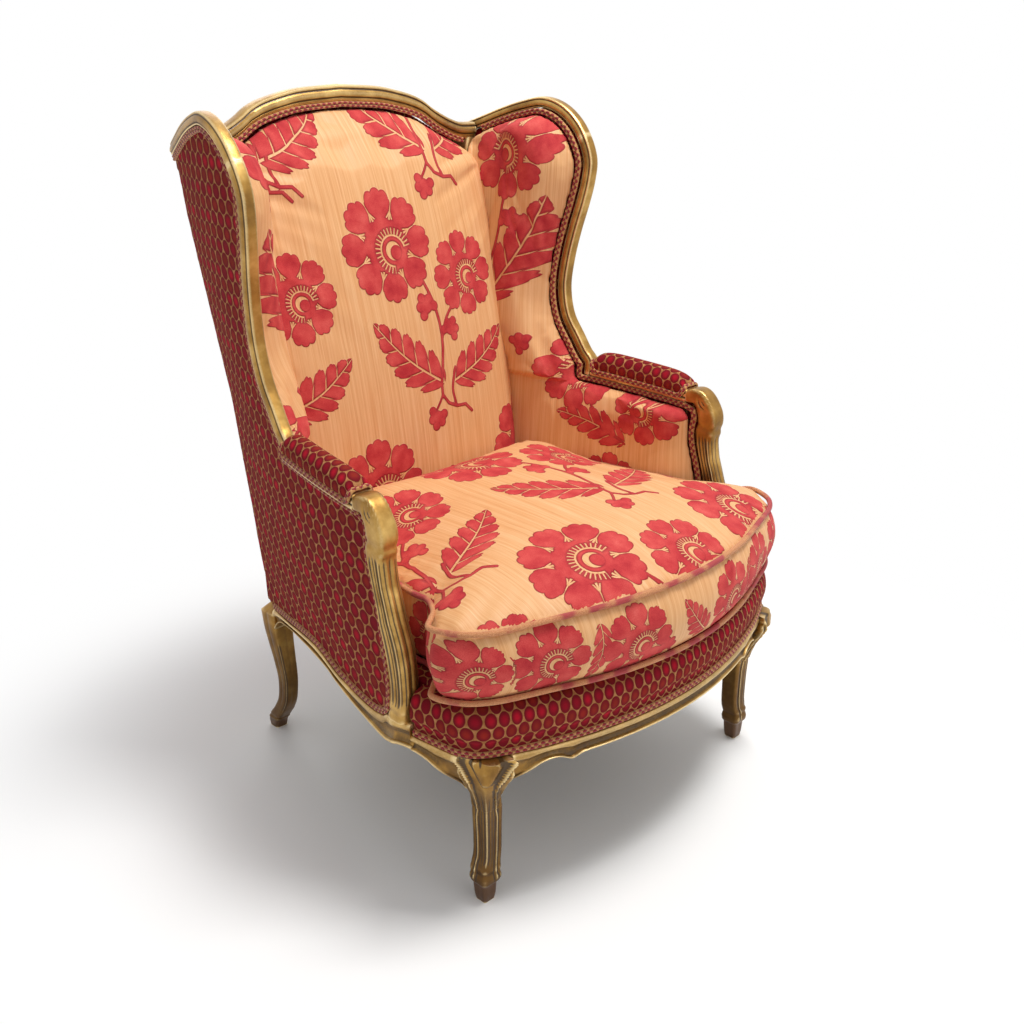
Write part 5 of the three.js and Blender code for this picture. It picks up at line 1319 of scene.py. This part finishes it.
def velvet_fields(u, v, sprigs, across=None):
    """The fields of a piece from its flat places and the sprigs on it, each moved by a step."""
    flowers, left, right = [], [], []
    figure = np.full(np.shape(u), -12.0)
    for sprig, du, dv in sprigs:
        pu, pv = u - du, v - dv
        flowers += [in_flower(pu, pv, *f) for f in sprig.get("flowers", [])]
        left += [in_leaf(pu, pv, *f) for f in sprig.get("left", [])]
        right += [in_leaf(pu, pv, *f) for f in sprig.get("right", [])]
        for b in sprig.get("buds", []):
            figure = np.maximum(figure, bud(pu, pv, *b))
        for line in sprig.get("stalks", []):
            figure = np.maximum(figure, stalk(pu, pv, *line))
    return {"cloth": cloth_field(u if across is None else across, v), "figure": np.clip(figure, -12, 12),
            "bloom": nearest(np.shape(u), flowers), "leaf_left": nearest(np.shape(u), left),
            "leaf_right": nearest(np.shape(u), right)}


# The back's side edges are drawn in over a strip, and the sides' front edges rolled in, in millimetres.
CREASE_OVER, CREASE_DEPTH = 34, 22
ROLL_OVER, ROLL_DEPTH = 125, 24


def make_inner_back():
    def creased(points):
        """Its side edges drawn back into the joint with the wings' pads."""
        x, y, z = points.T
        gap = np.clip(1 - (side_x(y, z) - PAD_INNER - np.abs(x)) / CREASE_OVER, 0, 1)
        return points + np.stack([0 * x, CREASE_DEPTH * gap ** 2, 0 * x], 1)

    def held(points, normals):
        x, y, z = points.T
        return (normals[:, 1] > 0.2) | (z < DECK_Z + 30) | (np.abs(x) > side_x(y, z) - PAD_INNER - 14)

    piece, mesh = stuffed("inner_back_cloth", "inner_back_pad", 6.0, 10, held, 9, shaped=creased)
    x, _, z = points_of(mesh).T
    dress(piece, mesh, VELVET, "inner_back_pad",
          velvet_fields(x, z, [(SPRIG, *step) for step in REPEATS]))


# What lies on the inner sides: y across, z up.
SIDE_SPRIG = {
    "flowers": [((212, 1003), 178), ((59, 618), 148), ((-97, 574), 138), ((300, 560), 140),
                ((-30, 420), 120)],
    "left": [((135, 925), (240, 730), 84), ((91, 539), (-58, 502), 62)],
    "right": [((330, 900), (246, 722), -74), ((10, 760), (100, 690), -50)],
    "buds": [((196, 880), 44, 0.3), ((160, 660), 40, 0.9), ((-20, 520), 36, 0)],
    "stalks": [([(214, 915), (218, 850), (236, 780), (244, 700), (230, 668)], 6.5),
               ([(20, 560), (-10, 530), (-58, 500)], 5)],
}


def make_inner_sides():
    def held(points, _):
        x, y, z = points.T
        return (side_x(y, z) - x < 24) | (z < DECK_Z + 25)

    def rolled(points):
        """Its front edge rolled in over the stuffing, from the arm's top down."""
        x, y, z = points.T
        rising = WOOD_EDGE[:WOOD_PEAK + 1]
        front = np.interp(z, np.maximum.accumulate(rising[:, 1]), rising[:, 0]) + GIMP_WIDTH
        inward = ease((side_x(y, z) - x - 14) / 22)
        roll = np.sin(math.pi * np.clip((y - front) / ROLL_OVER, 0, 1)) ** 0.8 * ease((z - 500) / 120)
        return points - np.stack([ROLL_DEPTH * roll * inward, 0 * x, 0 * x], 1)

    piece, mesh = stuffed("inner_side_cloth_right", "inner_side_pad_right", 6.0, 8, held, 7, shaped=rolled)
    x, y, z = points_of(mesh).T
    fields = velvet_fields(y, z, [(SIDE_SPRIG, 0, 0)], across=y + side_x(y, z) - x)
    twin, twin_mesh = mirror_of(piece, "inner_side_cloth_left")
    dress(piece, mesh, VELVET, "inner_side_pad_right", fields)
    dress(twin, twin_mesh, VELVET, "inner_side_pad_left", fields)


# The cushion: how far its front stands forwards, over 60 mm from FRONT_FROM_Y on, and its front corners
# sideways, from EAR_FROM on, across and in depth, over EAR_OVER; how much higher its top welt goes at the
# middle of the front; and where sprigs lie on its top.
EAR_PROUD, FRONT_FROM_Y, FRONT_OVER = 6, -205, 60
EAR_SIDEWAYS, EAR_FROM, EAR_OVER, WELT_RISE = 20, (205, -212), (120, 45), 9
TOP_STEPS = [(0, -830), (-353, -830), (353, -830), (-123, -1205), (230, -1205), (-476, -1205)]
FULL_WELT_Z = 455               # where the filled cushion carries its top welt
# What lies on the boxing: x across and z up at its front, y across and z up at its sides.
BOXING_SPRIG = {
    "flowers": [((-250, 402), 112), ((-118, 396), 118), ((92, 398), 112), ((205, 402), 108),
                ((318, 398), 110), ((-350, 398), 100)],
    "left": [((-30, 436), (30, 366), 46), ((-190, 350), (-176, 440), 30)],
    "right": [((160, 436), (146, 362), 34)],
    "buds": [((-60, 372), 34, 0.4)],
    "stalks": [([(-40, 352), (-60, 372), (-80, 385)], 5)],
}
SIDE_BOXING = {"flowers": [((-230, 400), 112), ((-60, 396), 112), ((90, 400), 100)],
               "left": [((-150, 430), (-130, 366), 40)], "right": [((20, 430), (6, 366), 36)]}


def welt_z(x, y):
    """The top welt's height, a little higher at the middle of the full front."""
    return FULL_WELT_Z + WELT_RISE * ease((-250 - y) / 120) * np.clip(1 - (x / 310) ** 2, 0, 1)


def let_out(x, y):
    """The cushion's front corners stand out to its sides, in front of the arm posts."""
    beside, ahead = (np.abs(x) - EAR_FROM[0]) / EAR_OVER[0], (EAR_FROM[1] - y) / EAR_OVER[1]
    far = EAR_SIDEWAYS * ease(beside) * ease(ahead)
    return np.sign(x) * far, 0 * far


def make_cushion():
    line = cushion_line()
    middle_y = (CUSHION_FRONT_Y + INNER_BACK_Y) / 2
    edge_angle = np.arctan2(line[:, 1] - middle_y, line[:, 0])
    order = np.argsort(edge_angle)
    edge_reach = np.hypot(line[:, 0], line[:, 1] - middle_y)

    def share_of(points):
        angle = np.arctan2(points[:, 1] - middle_y, points[:, 0])
        reach = np.interp(angle, edge_angle[order], edge_reach[order], period=2 * math.pi)
        return np.hypot(points[:, 0], points[:, 1] - middle_y) / reach, angle

    def plumped(points):
        """Full up to its welts, its boxing bowed out at the front, and puckered along its seams."""
        share, angle = share_of(points)
        boxed = np.clip((points[:, 2] - WELT_LOW_Z) / (WELT_TOP_Z - WELT_LOW_Z), 0, 1)
        points = points + np.stack([*let_out(points[:, 0], points[:, 1]), 0 * share], 1)
        x, y, z = points.T
        crown = WELT_TOP_Z + CUSHION_CROWN * (1 - np.clip(share, 0, 1) ** 2.6)
        behind = ease((y + 60) / 180)
        fuller = WELT_TOP_Z - 2 + (CUSHION_CROWN + 10) * (1 - np.clip(share, 0, 1) ** mix(3.6, 9, behind))
        lift = ease((z - WELT_TOP_Z + 6) / 12) * (fuller - crown)
        ahead = ease((FRONT_FROM_Y - y) / FRONT_OVER)
        bow = np.sin(math.pi * np.clip((z - WELT_LOW_Z) / (WELT_TOP_Z - WELT_LOW_Z), 0, 1)) * (3 + 17 * ahead)
        seam = np.exp(-np.abs(z - WELT_TOP_Z) / 26) * ease((share - 0.7) / 0.25)
        # Two trains of small puckers, whose lengths drift, so that no two are alike.
        run = angle * 400
        pucker = 1.1 * np.sin(run / 9.1 + 2 * np.sin(run / 41))
        pucker += 0.9 * np.sin(run / 14.3 + 1.7 * np.sin(run / 57))
        out = (bow + EAR_PROUD * ahead) * ease((share - 0.8) / 0.15) + seam * pucker * (0.6 + ahead)
        way = np.stack([np.cos(angle), np.sin(angle), 0 * angle], 1)
        lift = lift + (welt_z(x, y) - WELT_TOP_Z) * boxed
        drawn_up = np.stack([0 * x, 0 * x, lift + seam * pucker * (z > WELT_TOP_Z)], 1)
        return points + way * out[:, None] + drawn_up

    def held(points, _):
        z = points[:, 2]
        return (np.abs(z - welt_z(points[:, 0], points[:, 1])) < 8) | (z < WELT_LOW_Z + 8)

    piece, mesh = stuffed("cushion_cloth", "seat_cushion", 6.0, 6, held, 9, shaped=plumped)
    x, y, z = points_of(mesh).T
    boxing = (z < welt_z(x, y)) & (z > WELT_LOW_Z - 3)
    ahead = (y < -285) | (y > INNER_BACK_Y - 30)
    top = velvet_fields(x, y, [(SPRIG, *step) for step in TOP_STEPS])
    front = velvet_fields(x, z, [(BOXING_SPRIG, 0, 0)])
    side = velvet_fields(y, z, [(SIDE_BOXING, 0, 0)])
    fields = {}
    for name in top:
        pick = boxing if top[name].ndim == 1 else boxing[:, None]
        turn = ahead if top[name].ndim == 1 else ahead[:, None]
        fields[name] = np.where(pick, np.where(turn, front[name], side[name]), top[name])
    dress(piece, mesh, VELVET, "seat_cushion", fields, "cushion")


# Half the pad's roll over the rail, across and up, in millimetres.
PAD_ROLL = [(19, -9), (20.6, -5), (20.8, 1), (19.2, 9), (15, 17), (8, 23), (0, 25)]


def pad_section():
    """Across and up from the arm rail's top: a roll whose skirts come down over both edges of the rail."""
    outer = smooth_line(PAD_ROLL, 13)
    half = [(PAD_SKIRT, JOINT), (PAD_SKIRT, -8)] + [tuple(point) for point in outer]
    return np.array(half + [(-a, b) for a, b in reversed(half[:-1])])


def make_arm_pads():
    section = pad_section()
    steps_round = np.linalg.norm(np.diff(section, axis=0), axis=1)
    around = np.r_[0, np.cumsum(steps_round)]
    around = around - around[-1] / 2
    rings, along = [], np.linspace(PAD_FRONT_Y, PAD_REAR_Y, 64)
    for y in along:
        end = abs(2 * (y - PAD_FRONT_Y) / (PAD_REAR_Y - PAD_FRONT_Y) - 1)
        full = mix(0.3, 1, (1 - min(end, 1) ** 6) ** 0.5)
        spare = np.abs(section[:, 0]) - PAD_SKIRT
        dx = np.where(spare > 0, np.sign(section[:, 0]) * (PAD_SKIRT + spare * full), section[:, 0])
        z = float(arm_top_z(y)) + section[:, 1] * np.where(section[:, 1] > JOINT, full, 1)
        rings.append(np.stack([side_x(y, z) + dx, np.full(len(z), y), z], 1))
    cloth = cloth_field(along[:, None], around[None, :])
    for piece in place_pair("arm_pad_cloth", rings, DOTS, "dotted_fabric", ["arm_pad"],
                            fields={"cloth": cloth}, crease=70):
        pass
    side = [(1, y, PAD_WELT_Z) for y in np.linspace(PAD_FRONT_Y + 8, PAD_REAR_Y - 8, 9)]
    end = [(1, PAD_REAR_Y - 3, -9.5), (0.98, PAD_REAR_Y, -3), (0.75, PAD_REAR_Y + 1, 3.4),
           (0, PAD_REAR_Y + 1, 3.6)]
    front = [(a, PAD_FRONT_Y + PAD_REAR_Y - y, up) for a, y, up in reversed(end)]
    half = side + end + [(-a, y, up) for a, y, up in reversed(side + end[:-1])]
    half += [(-a, y, up) for a, y, up in reversed(front[:-1])]
    path = smooth_line(np.array(half + front[:-1]) * (PAD_SKIRT + 0.6, 1, 1), 300, closed=True)[:-1]
    t = np.roll(path, -1, axis=0) - np.roll(path, 1, axis=0)
    t /= np.linalg.norm(t, axis=1)[:, None]
    out = path * (1, 0, 1) - (0, 0, PAD_WELT_Z)
    out /= np.linalg.norm(out, axis=1)[:, None]
    across = np.cross(t, out)
    section = welt_section(OUTER_WELT)
    welt = path[:, None] + np.array([across * a + out * up for a, up in section]).transpose(1, 0, 2)
    x, y, up = welt[..., 0], welt[..., 1], welt[..., 2]
    z = arm_top_z(y) + up
    place_welt("welt_arm_pad", np.stack([side_x(y, z) + x, y, z], 2), section, "arm_pad_gimp", True,
               loop=True)


COVER_ACROSS, COVER_UP = 0.74, 0.9        # cloth for each millimetre of the outside: it lies stretched
COVER_CROWN, CROWN_OVER = 3.0, 90         # how far a cover crowns, this far in from its edge


def make_outer_covers():
    """The cloths nailed over the outside of the arms, wings and back, drawn tight with a slight crown."""
    edge = moved(WOOD_EDGE, GIMP_WIDTH)

    def crowned(points):
        x, y, z = points.T
        far = np.min([np.hypot(y - ey, z - ez) for ey, ez in edge[::12]], axis=0)
        crown = COVER_CROWN * ease(far / CROWN_OVER) * ease((z - 300) / 60) * (x > side_x(y, z) + 4)
        return points + np.stack([crown, 0 * x, 0 * x], 1)

    piece, mesh = stuffed("outer_side_cloth_right", "outer_side_panel_right", 3.2, 1, shaped=crowned, finer=0)
    _, y, z = points_of(mesh).T
    fields = {"cloth": cloth_field(y * COVER_ACROSS, z * COVER_UP)}
    twin, twin_mesh = mirror_of(piece, "outer_side_cloth_left")
    dress(piece, mesh, DOTS, "outer_side_panel_right", fields)
    dress(twin, twin_mesh, DOTS, "outer_side_panel_left", fields)
    piece, mesh = stuffed("outer_back_cloth", "outer_back_panel", 3.6, 1, finer=0)
    x, _, z = points_of(mesh).T
    dress(piece, mesh, DOTS, "outer_back_panel",
          {"cloth": cloth_field(x * COVER_ACROSS, z * COVER_UP)})


def cushion_line(count=420, proud=0.0):
    """The welts' centre line round the cushion, seen from above; proud moves its front outwards."""
    reach = PAD_INNER + CUSHION_GAP + WELT

    def side_at(y):
        return float(side_x(y, DECK_Z)) - reach

    def front_at(x):
        return CUSHION_FRONT_Y + CUSHION_BOW * (x / FRONT_CORNER_X) ** 2

    rear_y = INNER_BACK_Y - CUSHION_GAP - WELT
    corner_x, r = side_at(rear_y) - JOINT, CUSHION_CORNER
    ear_x, ear_y = CUSHION_EAR
    half = [(0, rear_y - CUSHION_DRAW), (corner_x - r * 2, rear_y - CUSHION_DRAW / 3),
            (corner_x - r * .7, rear_y), (corner_x - r * .1, rear_y - r * .35),
            (side_at(rear_y - r), rear_y - r)]
    half += [(side_at(y), y) for y in (mix(rear_y - r, ear_y + r / 2, share) for share in (.3, .6, .85))]
    half += [(side_at(ear_y + r / 2), ear_y + r / 2), (mix(side_at(ear_y), ear_x, .55), ear_y),
             (ear_x, ear_y - r * .5), (ear_x * .965, mix(ear_y, front_at(ear_x * .86), .62))]
    half += [(ear_x * share, front_at(ear_x * share)) for share in (.88, .72, .5, .25)]
    half += [(0, CUSHION_FRONT_Y)]
    line = smooth_line(half + [(-x, y) for x, y in reversed(half[1:-1])], count, closed=True)[:-1]
    away = line - (0, (CUSHION_FRONT_Y + INNER_BACK_Y) / 2)
    away /= np.linalg.norm(away, axis=1)[:, None]
    if proud:
        line = line + np.stack(let_out(line[:, 0], line[:, 1]), 1)
    return line + away * proud * ease((FRONT_FROM_Y - line[:, 1:]) / FRONT_OVER)


def make_cushion_welts():
    """Welts round the cushion: cloth cut on the bias over a cord, so its ribs lie aslant."""
    loop = cushion_line(proud=EAR_PROUD)
    t = np.roll(loop, -1, axis=0) - np.roll(loop, 1, axis=0)
    t /= np.linalg.norm(t, axis=1)[:, None]
    run = np.arange(len(loop)) * np.linalg.norm(loop[1] - loop[0])
    turn = np.linspace(0, 2 * math.pi, 14, endpoint=False)
    out = WELT * np.cos(turn)
    top = welt_z(loop[:, :1], loop[:, 1:])
    for node, z in (("cushion_welt_top", top), ("cushion_welt_bottom", np.full((len(loop), 1), WELT_LOW_Z))):
        rings = np.stack([loop[:, :1] + t[:, 1:] * out, loop[:, 1:] - t[:, :1] * out,
                          z + WELT * np.sin(turn)], 2)
        place_rings(node + "_cord", rings, CORD, "figured_velvet", [node], loop=True, body="cushion",
                    fields={"cloth": cloth_field(run[:, None], turn[None, :] * WELT)})


def welt_cord():
    """The velvet's ground cut on the bias over a cord: peach, rose where a sprig was cut, finely ribbed."""
    material, add = new_material("bias_welt")
    flat = add("Attribute", attribute_name="cloth", out="Vector")
    u, v, _ = field_parts(add, "cloth")
    rib = add("Math SINE", add("Math MULTIPLY", add("Math MULTIPLY_ADD", v, 0.9, u), 2 * math.pi / 2.6))
    patches = add("TexNoise", Vector=add("VectorMath MULTIPLY", flat, (0.011, 0.01, 0)), Scale=1.0, Detail=3,
                  Roughness=0.6)
    speck = add("TexNoise", Vector=flat, Scale=0.5, Detail=3, Roughness=0.6)
    pale = add("ValToRGB", speck, stops=[(0.3, "#C0703F"), (0.7, "#E3A873")])
    colour = add("Mix", add("MapRange", patches, 0.46, 0.56, interpolation_type="SMOOTHSTEP"), pale,
                 "#B23A3E", data_type="RGBA")
    colour = add("Mix", add("Math MULTIPLY", add("MapRange", rib, 0.2, 1.0, interpolation_type="SMOOTHSTEP"),
                            0.25), colour, "#9A4A34", data_type="RGBA")
    settle(material, add("Math ADD", rib, speck), 0.25, Base_Color=colour, Roughness=0.7, Sheen_Weight=0.1)
    return material


CORD = welt_cord()


# Inner pieces keep their shape and take their own materials.

INNER = {
    "bare_beech": (BEECH, ["front_corner_block", "rear_corner_block", "side_tack_rail", "lower_back_rail"]),
    "jute": (JUTE, ["seat_webbing", "spring_hessian", "back_hessian"]),
    "spring_steel": (STEEL, ["seat_spring"]),
    "dust_cloth": (CAMBRIC, ["dust_cover"]),
    "brass_zip": (BRASS, ["cushion_zip"]),
}


DECK_LIP_X, DECK_LIP_Y = 300, -205        # outside and in front of these the deck wears the spotted cloth


def make_deck():
    """The stuffed platform under the cushion: calico, with a lip of the spotted cloth where it shows."""
    piece, mesh = stuffed("deck_cloth_top", "seat_deck", 6.0, 1, finer=0)
    x, y, _ = points_of(mesh).T
    dress(piece, mesh, DOTS, "seat_deck", {"cloth": cloth_field(x, y)})
    mesh.materials.append(CALICO)
    for face in mesh.polygons:
        centre = face.center * MM_IN_METRE
        if centre.y - SEAT_MIDDLE_Y > DECK_LIP_Y and abs(centre.x) < DECK_LIP_X:
            face.material_index = 1


def make_inner_pieces():
    for slot, (material, starts) in INNER.items():
        for name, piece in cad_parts.items():
            if any(name.startswith(start) for start in starts):
                piece.data.materials.clear()
                piece.data.materials.append(material)


make_wings()
make_posts()
make_arm_rails()
make_side_rails()
make_front_rail()
make_rear_rail()
make_crest()
make_front_legs()
make_rear_legs()
make_side_welts()
make_crest_welts()
make_front_border()
make_inner_back()
make_inner_sides()
make_cushion()
make_arm_pads()
make_outer_covers()
make_cushion_welts()
make_deck()
make_inner_pieces()


# Camera, ground and light

# Where the photograph was taken from, worked out from the chair's feet, posts and wings in it.
LENS_MM, SENSOR_MM = 40.24, 36
CAMERA_AT = (-1.2265, -1.30005, 1.1565)
CAMERA_AXES = ((0.71541, -0.69866, -0.00808), (0.26398, 0.25957, 0.92894), (-0.64692, -0.66671, 0.37014))


def make_camera():
    data = bpy.data.cameras.new("photo_camera")
    data.lens, data.sensor_width = LENS_MM, SENSOR_MM
    camera = bpy.data.objects.new("photo_camera", data)
    scene.collection.objects.link(camera)
    turned = Matrix(CAMERA_AXES).transposed().to_4x4()
    turned.translation = CAMERA_AT
    camera.matrix_world = turned
    scene.camera = camera


def seen_ray(add):
    """1 for rays of the camera and those that a metal mirrors or a clear thing lets through."""
    rays = add("LightPath").node.outputs
    mirrored = add("Math MAXIMUM", rays["Is Glossy Ray"], rays["Is Transmission Ray"])
    return add("Math MAXIMUM", rays["Is Camera Ray"], mirrored)


FLOOR_REACH, FADE_FROM, FADE_TO = 9, 0.5, 1.15


def make_floor():
    """A pale sweep: it keeps the chair's shadow, and fades to plain white away from it."""
    mesh = bpy.data.meshes.new("floor")
    corners = [(x * FLOOR_REACH, y * FLOOR_REACH, 0) for x, y in ((-1, -1), (1, -1), (1, 1), (-1, 1))]
    mesh.from_pydata(corners, [], [(0, 1, 2, 3)])
    floor = bpy.data.objects.new("floor", mesh)
    scene.collection.objects.link(floor)
    material, add = new_material("pale_floor")
    tree = material.node_tree
    tree.nodes.remove(tree.nodes["Principled BSDF"])
    far = add("VectorMath LENGTH", add("NewGeometry", out="Position"))
    matt = add("BsdfDiffuse", Color="#FBFAF8")
    glow = add("Emission", Color="#FFFFFF", Strength=1.0)
    fade = add("Math MULTIPLY", add("MapRange", far, FADE_FROM, FADE_TO, interpolation_type="SMOOTHSTEP"),
               seen_ray(add))
    both = add("MixShader", fade, matt, glow)
    below = add("NewGeometry", out="Backfacing")
    sweep = add("MixShader", below, both, add("BsdfTransparent"))
    tree.links.new(sweep, tree.nodes["Material Output"].inputs["Surface"])
    mesh.materials.append(material)


def make_sky():
    """White where the camera sees past the chair; a soft room, brighter above, for what lights the chair."""
    world = bpy.data.worlds.new("white_room")
    world.use_nodes = True
    scene.world = world
    world.node_tree.nodes.clear()
    add = partial(add_node, world.node_tree)
    way = add("TexCoord", out="Generated")
    up = add("SeparateXYZ", way, out="Z")
    room = add("ValToRGB", add("Math MULTIPLY_ADD", up, 0.5, 0.5),
               stops=[(0.2, "#55524E"), (0.5, "#686663"), (0.8, "#C6C6C8")])
    colour = add("Mix", seen_ray(add), room, "#FFFFFF", data_type="RGBA")
    add("OutputWorld", Surface=add("Background", Color=colour, Strength=1.0))


def make_light(name, place_at, aim, power, size):
    data = bpy.data.lights.new(name, "AREA")
    data.energy, data.size = power, size
    light = bpy.data.objects.new(name, data)
    scene.collection.objects.link(light)
    light.location = place_at
    light.rotation_euler = (Vector(aim) - Vector(place_at)).to_track_quat("-Z", "Y").to_euler()


make_camera()
make_floor()
make_sky()
make_light("key_window", (0.7, -0.85, 4.0), (0, 0, 0.5), 112, 1.2)
make_light("fill_window", (0.2, -3.3, 1.7), (0, 0, 0.5), 9, 2.0)
make_light("back_window", (1.4, 2.4, 2.4), (0, 0, 0.6), 18, 1.8)
